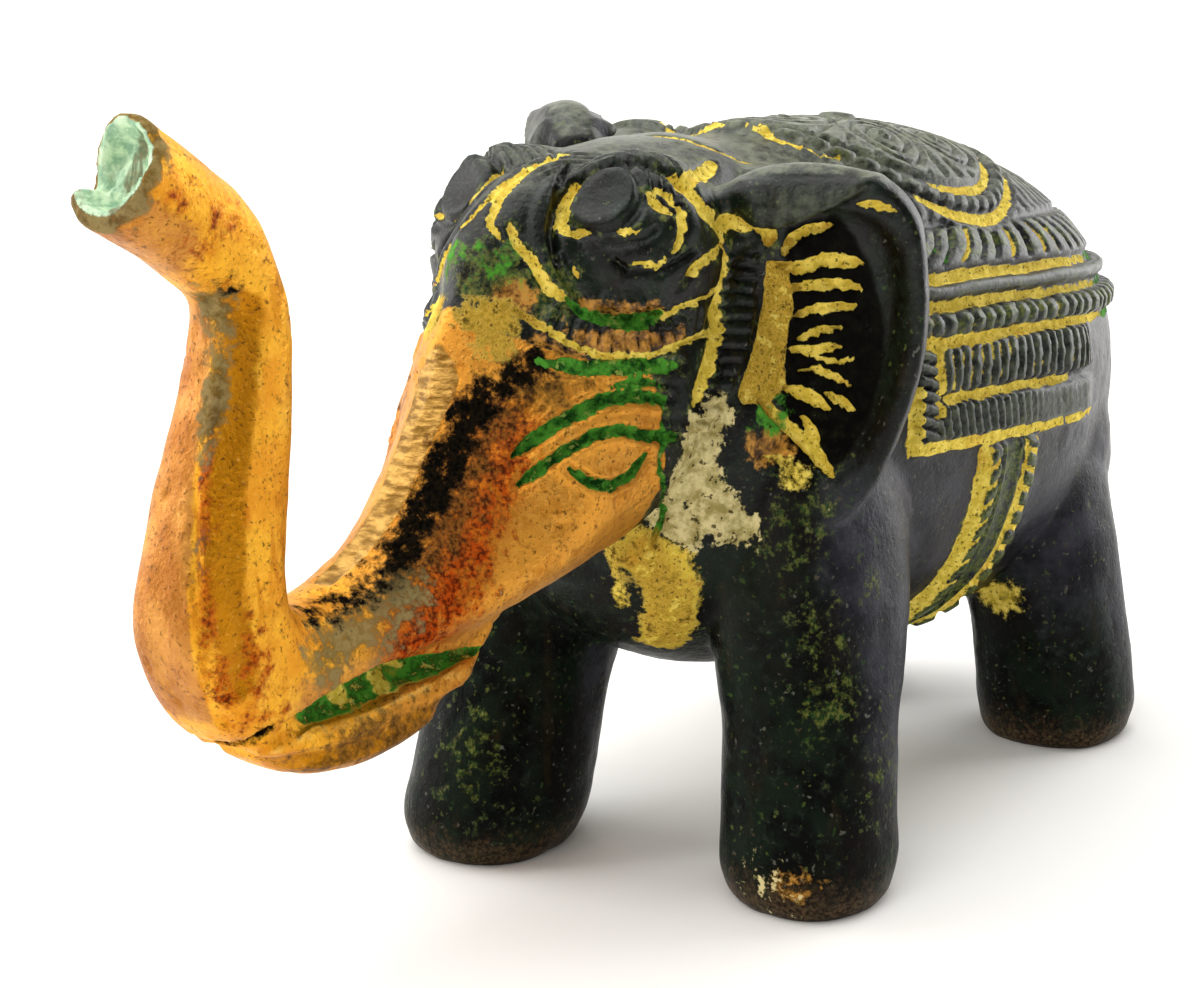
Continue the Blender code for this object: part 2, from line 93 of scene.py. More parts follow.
# Face and trunk from the neck to the tip, as pairs of points in the mid-plane: ridge x, ridge z,
# underside x, underside z, half width, how far down the widest place is, squareness above it and below it.
FACE_AND_TRUNK = (
    (-13.0, 49.0, -13.0, 29.0, 9.0, 0.50, 2.2, 2.2),
    (-23.5, 48.0, -20.5, 27.0, 9.6, 0.55, 2.0, 2.2),
    (-32.5, 46.6, -26.0, 25.6, 9.0, 0.66, 1.5, 2.2),
    (-36.2, 42.7, -30.6, 25.0, 8.4, 0.70, 1.3, 2.2),
    (-37.9, 39.3, -34.6, 24.2, 7.4, 0.74, 1.2, 2.2),
    (-40.0, 35.8, -38.6, 23.4, 6.3, 0.72, 1.2, 2.2),
    (-42.6, 32.1, -42.4, 22.9, 5.2, 0.68, 1.25, 2.2),
    (-46.0, 29.4, -46.4, 22.6, 4.7, 0.62, 1.4, 2.3),
    (-49.5, 28.1, -51.0, 21.2, 4.1, 0.56, 1.8, 2.4),
    (-52.4, 28.4, -57.7, 21.0, 3.9, 0.5, 2.4, 3.2),
    (-53.2, 30.0, -61.1, 27.1, 3.7, 0.5, 3.2, 3.2),
    (-52.8, 32.8, -60.0, 33.7, 3.4, 0.5, 3.2, 3.2),
    (-52.0, 37.5, -58.2, 38.8, 3.05, 0.5, 3.2, 3.2),
    (-51.3, 42.5, -56.6, 43.3, 2.8, 0.5, 2.9, 2.9),
    (-51.3, 46.8, -56.3, 46.2, 2.7, 0.5, 2.4, 2.4),
    (-53.0, 50.9, -57.9, 47.5, 2.9, 0.5, 2.3, 2.3),
    (-56.8, 54.5, -60.7, 49.5, 3.1, 0.5, 2.2, 2.2),
    (-61.1, 57.5, -64.0, 51.6, 3.2, 0.5, 2.1, 2.1),
)
BODY = (
    (-24.0, 35.0, -24.0, 22.5, 5.0, 0.5, 2.2, 2.2),
    (-21.5, 43.0, -21.5, 18.8, 9.0, 0.5, 2.2, 2.2),
    (-15.0, 49.2, -15.0, 15.0, 12.3, 0.5, 2.2, 2.2),
    (-7.0, 51.2, -7.0, 13.2, 14.8, 0.5, 2.15, 2.15),
    (3.0, 51.4, 3.0, 12.0, 16.0, 0.5, 2.1, 2.15),
    (13.0, 50.5, 13.0, 11.2, 16.1, 0.5, 2.05, 2.15),
    (21.0, 48.5, 21.0, 11.2, 15.7, 0.48, 2.1, 2.15),
    (28.0, 45.9, 28.0, 11.9, 14.0, 0.45, 2.2, 2.15),
    (34.0, 42.3, 34.0, 13.6, 11.6, 0.44, 2.25, 2.1),
    (37.6, 38.7, 37.4, 16.4, 9.2, 0.46, 2.15, 2.1),
    (39.6, 35.2, 39.4, 19.2, 6.8, 0.5, 2.0, 2.0),
    (40.6, 31.0, 40.5, 23.0, 3.6, 0.5, 2.0, 2.0),
    (40.9, 28.0, 40.9, 26.0, 0.7, 0.5, 2.0, 2.0),
)
LOWER_LIP = (
    (-34.2, 25.0, -34.2, 23.6, 3.0, 0.5, 2.2, 2.2),
    (-39.5, 22.2, -39.2, 20.5, 4.0, 0.5, 2.2, 2.2),
    (-43.8, 21.3, -43.6, 18.0, 4.5, 0.5, 2.2, 2.2),
    (-48.2, 21.1, -48.4, 17.2, 4.3, 0.5, 2.2, 2.2),
    (-52.6, 21.2, -53.0, 17.9, 3.9, 0.5, 2.2, 2.2),
    (-55.4, 21.6, -56.0, 19.6, 3.0, 0.5, 2.2, 2.2),
)
MOUTH_CORE = (
    (-35.0, 27.0, -35.0, 23.6, 3.6, 0.5, 2.2, 2.2),
    (-40.0, 26.0, -40.0, 20.8, 3.6, 0.5, 2.2, 2.2),
    (-45.0, 25.0, -45.0, 18.6, 3.3, 0.5, 2.2, 2.2),
    (-50.0, 24.0, -50.0, 18.3, 2.9, 0.5, 2.2, 2.2),
    (-54.5, 25.0, -54.5, 20.2, 2.3, 0.5, 2.2, 2.2),
)
TAIL = (
    (37.4, 35.6, 35.4, 33.8, 1.1, 0.5, 2.0, 2.0),
    (39.9, 33.4, 38.1, 31.8, 1.3, 0.5, 2.0, 2.0),
    (41.6, 29.8, 39.6, 29.0, 1.2, 0.5, 2.0, 2.0),
    (42.1, 25.6, 40.1, 25.6, 1.1, 0.5, 2.0, 2.0),
    (41.6, 21.4, 39.6, 21.8, 1.1, 0.5, 2.0, 2.0),
    (40.4, 17.6, 37.8, 18.8, 1.6, 0.5, 2.0, 2.0),
    (38.7, 15.0, 36.4, 16.6, 1.7, 0.5, 2.0, 2.0),
    (36.9, 13.2, 35.8, 14.2, 0.8, 0.5, 2.0, 2.0),
)

# Legs, ground to body: z, x, y, half length, half width.
FRONT_LEFT_LEG = (
    (-0.7, -14.6, -13.1, 3.6, 3.6),
    (0.0, -14.6, -13.1, 5.0, 5.0),
    (1.6, -14.6, -13.1, 5.9, 5.8),
    (6.0, -14.2, -12.9, 6.1, 5.9),
    (12.0, -13.2, -12.4, 6.4, 5.8),
    (18.0, -11.8, -11.4, 7.6, 6.2),
    (26.0, -10.0, -9.6, 8.6, 6.6),
    (34.0, -9.0, -7.6, 8.0, 6.0),
)
FRONT_RIGHT_LEG = (
    (-0.7, -19.4, 11.7, 4.2, 3.8),
    (0.0, -19.4, 11.7, 5.6, 5.2),
    (1.6, -19.3, 11.6, 6.6, 6.2),
    (6.0, -18.5, 11.1, 6.9, 6.5),
    (12.0, -16.6, 10.8, 6.7, 6.3),
    (18.0, -14.0, 10.4, 7.3, 6.4),
    (26.0, -11.0, 9.4, 8.4, 6.6),
    (34.0, -9.0, 7.6, 8.0, 6.0),
)
HIND_LEG = (
    (-0.7, 26.5, -11.2, 4.0, 4.0),
    (0.0, 26.5, -11.2, 5.3, 5.3),
    (1.6, 26.5, -11.2, 6.2, 6.1),
    (6.0, 26.2, -11.0, 6.4, 6.2),
    (12.0, 25.6, -10.3, 6.6, 6.1),
    (18.0, 25.0, -9.5, 7.1, 6.1),
    (26.0, 24.6, -8.0, 7.6, 6.0),
    (34.0, 24.0, -6.6, 7.4, 5.6),
)

# Ears: root, spread, which side (1 keeps the left, -1 mirrors it) and how much the ear is raised. The outline runs
# outwards and upwards from the root; the profile gives how far out it is, as a share, and how far ahead.
EARS = (
    ((-18.0, -9.0, 40.0), (0.54, -0.84), 1.0, 0.0),
    ((-14.0, -7.8, 40.0), (0.70, -0.71), -1.0, 2.8),
)
EAR_OUTLINE = (
    (-1.5, 9.2), (2.2, 10.8), (6.8, 10.9), (10.4, 10.0), (12.4, 7.9), (13.1, 4.2), (13.1, -0.6),
    (12.1, -5.2), (10.6, -9.0), (8.9, -12.0), (6.0, -13.7), (3.0, -13.4), (0.2, -11.4), (-1.6, -8.0),
    (-1.8, -3.0), (-1.6, 3.0),
)
EAR_PROFILE = (
    (0.02, -1.3), (0.30, -1.2), (0.58, -0.9), (0.72, -0.3), (0.82, 0.8), (0.91, 1.1), (0.98, 0.2),
    (0.99, -1.2), (0.93, -2.6), (0.70, -3.6), (0.40, -4.2), (0.02, -4.4),
)

EAR_MIDDLE = (5.2, -1.2)
EAR_COLUMNS = 108
EAR_ROWS = 56
# Height over which a raised ear stretches by as much as it is raised.
EAR_TALL = 20.0

# Round masses of the head, the shoulders and the hips: middle and reach.
MASSES = (
    ((-16.5, 0.0, 43.4), (17.5, 9.0, 9.0)),
    ((-22.0, 0.0, 44.2), (13.0, 5.2, 7.8)),
    ((-22.4, -4.6, 45.4), (6.7, 5.7, 6.7)),
    ((-22.4, 4.6, 45.4), (6.7, 5.7, 6.7)),
    ((-9.5, -6.0, 42.5), (8.0, 6.5, 7.6)),
    ((-4.3, 8.4, 44.8), (7.0, 6.6, 6.9)),
    ((26.4, -8.2, 23.5), (8.0, 6.2, 11.0)),
    ((26.4, 8.2, 23.5), (8.0, 6.2, 11.0)),
)


def smooth_rows(keys, count):
    """Hermite curve through the rows of keys at evenly spread places, all columns carried along."""
    keys = np.asarray(keys, float)
    steps = np.linalg.norm(np.diff(keys[:, :3], axis=0), axis=1)
    knots = np.concatenate([[0.0], np.cumsum(steps)])
    slopes = np.gradient(keys, knots, axis=0)
    places = np.linspace(0.0, knots[-1], count)
    left = np.clip(np.searchsorted(knots, places) - 1, 0, len(knots) - 2)
    span = (knots[left + 1] - knots[left])[:, None]
    t = ((places - knots[left])[:, None]) / span
    return (
        keys[left] * (2 * t**3 - 3 * t**2 + 1)
        + keys[left + 1] * (3 * t**2 - 2 * t**3)
        + slopes[left] * span * (t**3 - 2 * t**2 + t)
        + slopes[left + 1] * span * (t**3 - t**2)
    )


def squared(value, squareness):
    """A sine or cosine raised to 2 / squareness, sign kept, so that a circle becomes a squarer oval."""
    return np.sign(value) * np.abs(value) ** (2.0 / squareness)


def closed_skin(rings):
    """A grid of rings as points and faces, each end closed by a fan to the middle of its ring."""
    rows, columns, _ = rings.shape
    points = np.concatenate([rings.reshape(-1, 3), [rings[0].mean(axis=0)], [rings[-1].mean(axis=0)]])
    index = np.arange(rows * columns).reshape(rows, columns)
    following = np.roll(index, -1, axis=1)
    sides = np.stack([index[:-1], following[:-1], following[1:], index[1:]], axis=-1).reshape(-1, 4)
    first, last = rows * columns, rows * columns + 1
    start = np.stack([following[0], index[0], np.full(columns, first)], axis=-1)
    end = np.stack([index[-1], following[-1], np.full(columns, last)], axis=-1)
    return points, sides.tolist() + start.tolist() + end.tolist()


def ovals_between_lines(keys, rows):
    """Squared ovals that stand between a ridge line and an underside line in the mid-plane, as the rows say."""
    ends = [((a + c) / 2, 0.0, (b + d) / 2, (c - a) / 2, (d - b) / 2, *rest) for a, b, c, d, *rest in keys]
    path = smooth_rows(ends, rows)
    turn = np.linspace(0.0, 2 * math.pi, RING_POINTS, endpoint=False)
    half, widest, crown, keel = (path[:, i, None] for i in range(5, 9))
    above = np.sin(turn) > 0
    square = np.where(above, crown, keel)
    across = squared(np.cos(turn), square) * half
    down = 2 * widest - 1 - squared(np.sin(turn), square) * 2 * np.where(above, widest, 1 - widest)
    x = path[:, 0, None] + path[:, 3, None] * down
    z = path[:, 2, None] + path[:, 4, None] * down
    return closed_skin(np.stack([x, across, z], axis=-1))


def level_ovals(keys, rows, mirrored=False):
    """Squared level ovals stacked up a leg."""
    path = smooth_rows([(x, y, z, a, b) for z, x, y, a, b in keys], rows)
    turn = np.linspace(0.0, 2 * math.pi, RING_POINTS, endpoint=False)
    x = path[:, 0, None] + path[:, 3, None] * squared(np.cos(turn), LEG_SQUARENESS)
    y = path[:, 1, None] + path[:, 4, None] * squared(np.sin(turn), LEG_SQUARENESS)
    z = np.broadcast_to(path[:, 2, None], x.shape)
    return closed_skin(np.stack([x, -y if mirrored else y, z], axis=-1))


def round_mass(centre, reach, rows=32):
    """An oval ball: latitude by longitude, stretched by its reach."""
    tilt = np.linspace(-0.5 * math.pi, 0.5 * math.pi, rows + 2)[1:-1, None]
    turn = np.linspace(0.0, 2 * math.pi, RING_POINTS, endpoint=False)
    ball = np.stack(
        [np.cos(tilt) * np.cos(turn), np.cos(tilt) * np.sin(turn), np.sin(tilt) * np.ones_like(turn)], axis=-1
    )
    return closed_skin(np.asarray(centre) + ball * np.asarray(reach))


def dished_ear(root, spread, side, raise_by):
    """The ear's profile carried round its outline, shrunk towards its middle, on the plane of root and spread."""
    outline = np.asarray(EAR_OUTLINE + EAR_OUTLINE[:1])
    round_path = smooth_rows([(a, b, 0.0) for a, b in outline], EAR_COLUMNS + 1)[:-1, :2]
    profile = smooth_rows([(a, b * 0.1, b) for a, b in EAR_PROFILE], EAR_ROWS)[:, [0, 2]]
    middle = np.asarray(EAR_MIDDLE)
    flat = middle + (round_path[None] - middle) * profile[:, 0, None, None]
    ahead = np.broadcast_to(profile[:, 1, None], flat.shape[:2])
    out = np.asarray(spread) / np.linalg.norm(spread)
    x = root[0] + flat[..., 0] * out[0] + ahead * out[1]
    y = root[1] + flat[..., 0] * out[1] - ahead * out[0]
    z = root[2] + flat[..., 1] + raise_by * (0.5 + flat[..., 1] / EAR_TALL)
    rings = np.stack([x, y * side, z], axis=-1)
    return closed_skin(rings[:, ::-1] if side > 0 else rings)


def all_skins():
    """Every limb as a closed skin that overlaps its neighbours."""
    for keys, rows in ((BODY, 140), (FACE_AND_TRUNK, 260), (LOWER_LIP, 60), (MOUTH_CORE, 40), (TAIL, 80)):
        yield ovals_between_lines(keys, rows)
    for keys in (FRONT_LEFT_LEG, FRONT_RIGHT_LEG, HIND_LEG):
        yield level_ovals(keys, LEG_ROWS)
    yield level_ovals(HIND_LEG, LEG_ROWS, mirrored=True)
    for centre, reach in MASSES:
        yield round_mass(centre, reach)
    for ear in EARS:
        yield dished_ear(*ear)


def melted_skins(voxel, rounds):
    """An object whose skins are melted together by a voxel remesh and softened."""
    points, faces, offset = [], [], 0
    for skin, skin_faces in all_skins():
        points.append(skin)
        faces += [[i + offset for i in face] for face in skin_faces]
        offset += len(skin)
    mesh = bpy.data.meshes.new("skins")
    mesh.from_pydata(np.concatenate(points) * MM, [], faces)
    fix = bmesh.new()
    fix.from_mesh(mesh)
    bmesh.ops.recalc_face_normals(fix, faces=fix.faces)
    fix.to_mesh(mesh)
    fix.free()
    skins = bpy.data.objects.new("skins", mesh)
    bpy.context.scene.collection.objects.link(skins)
    melt = skins.modifiers.new("melt", "REMESH")
    melt.mode = "VOXEL"
    melt.voxel_size = voxel
    soften = skins.modifiers.new("soften", "SMOOTH")
    soften.factor = 0.5
    soften.iterations = rounds
    return skins


def applied(source):
    """A plain mesh of the object with its modifiers applied; the object is removed."""
    bpy.context.view_layer.update()
    graph = bpy.context.evaluated_depsgraph_get()
    mesh = bpy.data.meshes.new_from_object(source.evaluated_get(graph))
    bpy.data.objects.remove(source)
    return mesh


# Whole numbers that scatter the corners of the noise lattice, one for each axis and one for the seed, and a mixer.
SCATTER = (73856093, 19349663, 83492791, 2654435761)
MIXER = 1274126177


def uneven(points, size, seed):
    """Value noise between 0 and 1: random heights on a lattice of the given size, blended smoothly between."""
    cell = np.asarray(points) / size
    low = np.floor(cell).astype(np.int64)
    part = cell - low
    part = part * part * (3 - 2 * part)
    total = np.zeros(len(cell))
    for corner in range(8):
        step = np.array([corner & 1, corner >> 1 & 1, corner >> 2 & 1])
        across, along, up = (low + step).T
        key = across * SCATTER[0] ^ along * SCATTER[1] ^ up * SCATTER[2] ^ seed * SCATTER[3]
        key = (key ^ key >> 13) * MIXER
        value = ((key ^ key >> 16) & 0xFFFF) / 65535.0
        total += value * np.prod(np.where(step == 1, part, 1 - part), axis=1)
    return total


def at(section, distance):
    """The height of a section at some distances, its corners joined by straight lines."""
    places, heights = zip(*section)
    return np.interp(distance, places, heights)


def ramp(value, start, end):
    """0 before start, 1 after end, an even rise between."""
    return np.clip((value - start) / (end - start), 0.0, 1.0)


def hump(distance, half):
    """1 on the line, falling as a parabola to 0 at half a width from it."""
    return np.clip(1.0 - (distance / half) ** 2, 0.0, 1.0)


def ribs(place, period):
    """0 on the back of each rib and 1 in the cut between two, the cuts narrower than the ribs."""
    return np.clip((np.cos(2 * math.pi * place / period) - 0.25) / 0.75, 0.0, 1.0)


# Only a place less than this deep below the skin is measured along it.
SKIN_REACH = 1.5


def path_place(points, corners, normals=None):
    """Distance of each point from a chain of straight pieces, and how far along the chain its nearest place is.

    With normals the distance is measured along the skin: the part of it that runs into the skin is left out."""
    nearest, place, passed = np.full(len(points), 1e9), np.zeros(len(points)), 0.0
    for a, b in zip(corners[:-1], corners[1:]):
        a, b = np.asarray(a, float), np.asarray(b, float)
        length = np.linalg.norm(b - a)
        share = np.clip((points - a) @ (b - a) / length**2, 0.0, 1.0)
        apart = points - a - share[:, None] * (b - a)
        away = np.linalg.norm(apart, axis=1)
        if normals is not None:
            inward = np.sum(apart * normals, axis=1)
            away = np.where(np.abs(inward) < SKIN_REACH, np.sqrt(np.maximum(away**2 - inward**2, 0.0)), away)
        place = np.where(away < nearest, passed + share * length, place)
        nearest = np.minimum(nearest, away)
        passed += length
    return nearest, place, passed


def tapered(place, length, tip):
    """1 along a stroke, falling to a quarter at its two ends over the given tip length."""
    return np.clip(np.minimum(place, length - place) / tip, 0.0, 1.0) ** 0.6 * 0.75 + 0.25


# Saddle cloth: front edge, rear edge of the skirt, and the fall of its bands for each millimetre back. Its way back
# leaves the flank at the rump's start, for an arc of the given radius.
CLOTH_FRONT = -4.3
SKIRT_REAR = 22.6
BAND_FALL = 0.07
RUMP_START = 22.0
RUMP_ARC = 14.0
# Levels of its ribbed bands, of the skirt's top and of the cloth's top, and the spacing of the ribs.
FRINGE = (30.3, 32.8)
MIDDLE_BAND = (33.6, 36.8)
UPPER_BAND = (37.5, 39.2)
SKIRT_TOP = 37.1
TOP_LEVEL = 41.8
FRINGE_RIBS = 0.98
MIDDLE_RIBS = 1.28
UPPER_RIBS = 1.65
STRIP_RIBS = 0.92
# Sections: place across, and height over the skin.
SKIRT_SECTION = (
    (29.15, 0.0), (29.35, 0.30), (30.15, 0.30), (30.4, 0.75), (32.7, 0.80), (32.9, 0.10), (33.45, 0.10),
    (33.7, 0.72), (35.2, 0.88), (36.7, 0.72), (36.9, 0.1), (37.45, 0.1),
)
BAND_SECTION = (
    (36.7, 0.0), (37.4, 0.05), (37.65, 0.75), (38.4, 1.05), (39.05, 0.75), (39.3, 0.05), (39.95, 0.05),
    (40.15, 0.75), (40.55, 0.95), (40.9, 0.75), (41.1, 0.05), (41.8, 0.05), (42.05, 0.5), (60.0, 0.5),
)
# Painted lines of the cloth: level, half width, where they start in front and end at the rear.
PAINTED_LEVELS = (
    (29.75, 0.50, -9.0, 24.0), (33.15, 0.40, -1.6, 18.5), (37.15, 0.44, -9.0, 60.0), (39.6, 0.42, -9.0, 60.0),
    (41.45, 0.46, -9.0, 60.0),
)
# Painted rings of the top: distance from its middle, and from where to where along x their paint sets in.
PAINTED_RINGS = ((11.42, 4.0, 8.0), (13.2, 1.5, 4.5))
# Top of the cloth: its middle, how it is stretched, the rope, the ring of curls, a curl's middle and reach, leaves.
FIELD_MIDDLE = 9.5
FIELD_STRETCH = (0.935, 1.07)
ROPE = (11.8, 12.85)
ROPE_TURNS = 44
CURLS = 6
CURL_RING = (2.6, 10.7)
CURL_MIDDLE = 7.0
CURL_REACH = (3.5, 3.2)
LEAF_WIDTH = 2.0
FIELD_SECTION = (
    (0.0, 0.45), (1.3, 0.35), (1.8, -0.1), (2.3, -0.1), (2.6, 0.2), (10.7, 0.25), (11.1, -0.3), (11.75, -0.3),
    (12.0, 0.2), (12.35, 0.3), (12.7, 0.2), (12.9, -0.3), (13.5, -0.3), (13.75, 0.0), (40.0, 0.0),
)
# Girth: its middle and half width, its rows of beads and their spacing.
GIRTH_MIDDLE = 8.3
GIRTH_HALF = 4.3
BEAD_ROW = 2.75
BEAD_SPACING = 1.5
GIRTH_SECTION = (
    (-4.3, 0.0), (-4.0, 0.35), (-1.7, 0.35), (-1.5, 0.6), (-1.0, 0.6), (-0.8, 0.25), (1.0, 0.25), (1.3, 0.5),
    (1.7, 0.35), (4.0, 0.35), (4.3, 0.0),
)

# Headdress: middle and reach of each round boss and of the raised disc on it, the ribbed borders below it, the
# strap's edges as z and x, the knob at its top, and the spacing of the ribs.
BOSS_MIDDLE = (-26.6, 7.4, 47.2)
BOSS_REACH = 6.6
BOSS_SECTION = (
    (0.0, 0.25), (4.2, 0.3), (4.75, 0.0), (4.95, -0.35), (5.3, -0.35), (5.5, 0.25), (6.3, 0.25), (6.6, 0.0),
    (30.0, 0.0),
)
DISC_MIDDLE = (-27.4, 5.6, 49.8)
DISC_REACH = 3.0
DISC_SECTION = (
    (0.0, -0.42), (0.8, -0.36), (1.5, -0.12), (2.0, 0.14), (2.3, 0.02), (2.5, -0.32), (2.8, -0.32),
    (3.2, 0.0), (30.0, 0.0),
)
HEM = (
    (-32.3, 4.9, 42.6), (-31.2, 5.7, 41.6), (-30.1, 6.6, 41.0), (-28.3, 7.5, 40.5), (-25.6, 8.7, 40.5),
    (-22.2, 9.5, 41.4),
)
UPPER_HEM = ((-29.8, 6.4, 43.0), (-27.7, 8.0, 42.6), (-26.2, 9.2, 42.7))
STRAP_LEFT = (
    (45.9, -19.2), (43.0, -19.7), (40.6, -19.8), (38.7, -20.8), (37.3, -21.8), (35.8, -22.8), (33.5, -24.0),
)
STRAP_RIGHT = (
    (45.9, -16.2), (44.5, -16.0), (41.5, -16.3), (39.3, -17.5), (37.9, -18.4), (36.3, -19.5), (33.5, -21.5),
)
KNOB_MIDDLE = (-17.6, 9.9, 45.9)
KNOB_REACH = (1.5, 1.5, 1.1)
HEM_RIBS = 0.98
UPPER_HEM_RIBS = 0.8
STRAP_RIBS = 0.95

# Lines cut with a graver: fill (dark is left unpainted), half width, depth, corners as x, |y|, z.
LINES = (
    ("green", 0.58, 0.60, (
        (-36.0, 5.1, 34.5), (-34.5, 5.9, 35.5), (-32.9, 6.6, 36.3), (-30.1, 7.6, 37.2), (-28.0, 8.4, 37.2),
        (-25.3, 9.2, 36.6)
    )),
    ("green", 0.34, 0.40, ((-29.5, 7.9, 38.0), (-27.5, 8.7, 38.2), (-25.6, 9.2, 37.6))),
    ("green", 0.46, 0.55, (
        (-36.2, 5.6, 32.7), (-34.8, 6.4, 33.6), (-33.4, 7.0, 34.4), (-31.4, 7.8, 35.2), (-29.4, 8.3, 35.3),
        (-27.4, 8.9, 34.6), (-24.2, 9.4, 34.0)
    )),
    ("green", 0.46, 0.55, (
        (-33.3, 7.3, 33.4), (-32.0, 8.0, 32.3), (-30.6, 8.5, 31.9), (-29.0, 8.8, 32.2), (-27.4, 9.1, 33.4)
    )),
    ("green", 0.26, 0.35, ((-25.7, 9.3, 36.6), (-26.3, 9.2, 32.3), (-23.2, 7.4, 28.4), (-22.4, 5.2, 25.4))),
    ("yellow", 0.30, 0.40, (
        (-24.0, 0.3, 51.9), (-24.9, 0.3, 51.7), (-27.7, 0.2, 51.1), (-31.1, 0.4, 49.6), (-32.7, 0.9, 48.2),
        (-32.7, 2.0, 47.2)
    )),
    ("dark", 0.36, 0.55, (
        (-25.2, 1.7, 51.5), (-26.6, 2.1, 51.0), (-28.2, 2.9, 50.0), (-30.1, 3.9, 48.0), (-31.0, 4.9, 46.1)
    )),
    ("yellow", 0.42, 0.40, (
        (-26.0, 3.9, 51.3), (-26.9, 3.3, 50.8), (-28.4, 3.7, 49.8), (-29.6, 4.3, 48.6), (-29.8, 4.8, 48.0),
        (-29.4, 5.9, 47.8)
    )),
    ("yellow", 0.42, 0.30, ((-25.6, 8.2, 50.1), (-25.6, 8.8, 49.3), (-25.0, 9.5, 48.6))),
    ("yellow", 0.30, 0.25, ((-25.3, 8.3, 50.3), (-24.4, 9.0, 49.8), (-24.6, 9.4, 49.1))),
    ("yellow", 0.40, 0.35, (
        (-24.2, 9.6, 49.1), (-24.5, 10.0, 47.9), (-24.9, 10.1, 46.8), (-25.4, 10.0, 46.1)
    )),
    ("yellow", 0.26, 0.25, ((-28.3, 7.3, 47.7), (-27.2, 8.4, 47.6))),
    ("yellow", 0.30, 0.25, ((-27.9, 8.4, 45.7), (-27.2, 8.9, 45.6), (-26.5, 9.6, 45.3), (-25.9, 9.8, 45.9))),
    ("yellow", 0.22, 0.20, ((-30.1, 5.8, 45.6), (-30.0, 6.1, 44.7))),
    ("dark", 0.34, 0.45, (
        (-28.6, 7.3, 46.0), (-28.0, 8.2, 45.2), (-26.5, 9.5, 45.0), (-25.2, 10.2, 45.5), (-23.7, 10.6, 46.2)
    )),
    ("dark", 0.45, 0.40, ((-29.4, 6.5, 47.1), (-28.3, 7.6, 46.9), (-26.9, 8.8, 47.2), (-26.0, 9.4, 47.8))),
    ("yellow", 0.38, 0.40, (
        (-31.9, 1.9, 48.2), (-32.1, 2.6, 47.0), (-31.8, 3.5, 46.1), (-31.9, 4.3, 45.2), (-31.7, 5.0, 44.2),
        (-30.7, 5.5, 43.5)
    )),
    ("green", 0.42, 0.40, (
        (-30.7, 5.5, 43.5), (-30.0, 6.2, 42.6), (-28.1, 7.4, 41.8), (-26.4, 8.5, 41.6), (-25.5, 9.3, 41.8)
    )),
    ("yellow", 0.30, 0.35, (
        (-26.4, 8.5, 41.7), (-25.5, 9.3, 41.9), (-24.4, 9.9, 42.5), (-22.6, 9.8, 42.8), (-20.4, 9.5, 43.2)
    )),
    ("yellow", 0.26, 0.30, (
        (-33.2, 3.3, 43.1), (-32.4, 4.5, 42.0), (-30.9, 5.9, 40.6), (-29.5, 6.9, 39.8), (-26.7, 8.7, 39.6),
        (-23.4, 9.5, 40.1), (-20.3, 9.2, 40.4)
    )),
    ("green", 0.60, 0.12, ((-33.2, 4.8, 39.9), (-30.4, 6.7, 39.2), (-26.5, 8.6, 38.9), (-24.0, 9.1, 38.6))),
    ("yellow", 0.42, 0.30, (
        (-24.3, 10.5, 44.4), (-23.2, 10.6, 45.2), (-20.8, 10.1, 45.9), (-20.0, 9.8, 46.6)
    )),
    ("yellow", 0.82, 0.35, (
        (-23.2, 8.0, 51.1), (-22.6, 9.4, 49.8), (-22.2, 10.1, 48.6), (-20.2, 9.7, 46.9), (-19.5, 9.6, 45.9)
    )),
    ("yellow", 0.64, 0.30, (
        (-20.3, 9.6, 47.2), (-17.8, 10.0, 47.3), (-16.9, 10.8, 47.3), (-15.7, 10.6, 46.4), (-15.8, 10.6, 45.5)
    )),
    ("yellow", 0.64, 0.30, ((-22.6, 8.9, 50.2), (-19.2, 7.2, 50.3), (-15.8, 5.9, 50.4), (-14.2, 5.4, 50.7))),
    ("yellow", 0.60, 0.40, (
        (-19.4, 9.6, 45.7), (-19.8, 9.8, 43.0), (-19.8, 9.3, 40.6), (-20.9, 9.4, 38.7), (-21.9, 9.5, 37.3),
        (-22.9, 9.5, 35.8)
    )),
    ("yellow", 0.34, 0.25, (
        (-15.6, 0.6, 51.4), (-13.4, 3.0, 51.2), (-11.8, 4.4, 50.9), (-10.2, 4.9, 50.4), (-9.2, 5.6, 50.2)
    )),
    ("yellow", 0.38, 0.25, (
        (-1.9, 3.3, 51.8), (-3.6, 0.9, 51.9), (-4.2, 3.4, 51.6), (-4.3, 4.4, 51.2), (-4.1, 5.8, 50.9),
        (-3.7, 7.2, 50.3)
    )),
    ("yellow", 0.36, 0.25, ((-3.6, 7.2, 50.3), (-2.6, 7.5, 50.3), (-1.5, 7.6, 50.3))),
    ("yellow", 0.36, 0.25, ((-2.3, 12.6, 46.4), (-2.2, 13.8, 44.0), (-2.1, 14.6, 41.6))),
    ("dark", 0.36, 0.80, ((-58.3, 0.0, 20.4), (-57.9, 1.6, 20.8), (-57.3, 2.8, 21.4), (-56.5, 3.7, 22.2))),
)

# Mouth: its corner; x, then the height of the lip's edge and of the jaw's edge; its section from the first (0) to the
# second (1).
MOUTH_CORNER = -37.2
MOUTH_EDGES = (
    (-56.6, 21.2, 21.8), (-54.8, 21.2, 22.4), (-51.0, 20.9, 23.3), (-47.7, 21.0, 23.9), (-44.9, 21.3, 23.5),
    (-42.5, 21.5, 23.0), (-38.9, 21.8, 22.5), (-37.0, 21.9, 22.2),
)
MOUTH_SECTION = (
    (-0.25, 0.0), (0.0, 0.1), (0.25, -0.70), (0.60, -1.40), (0.90, -1.15), (1.0, -0.2), (1.08, 0.15),
    (1.5, 0.0),
)

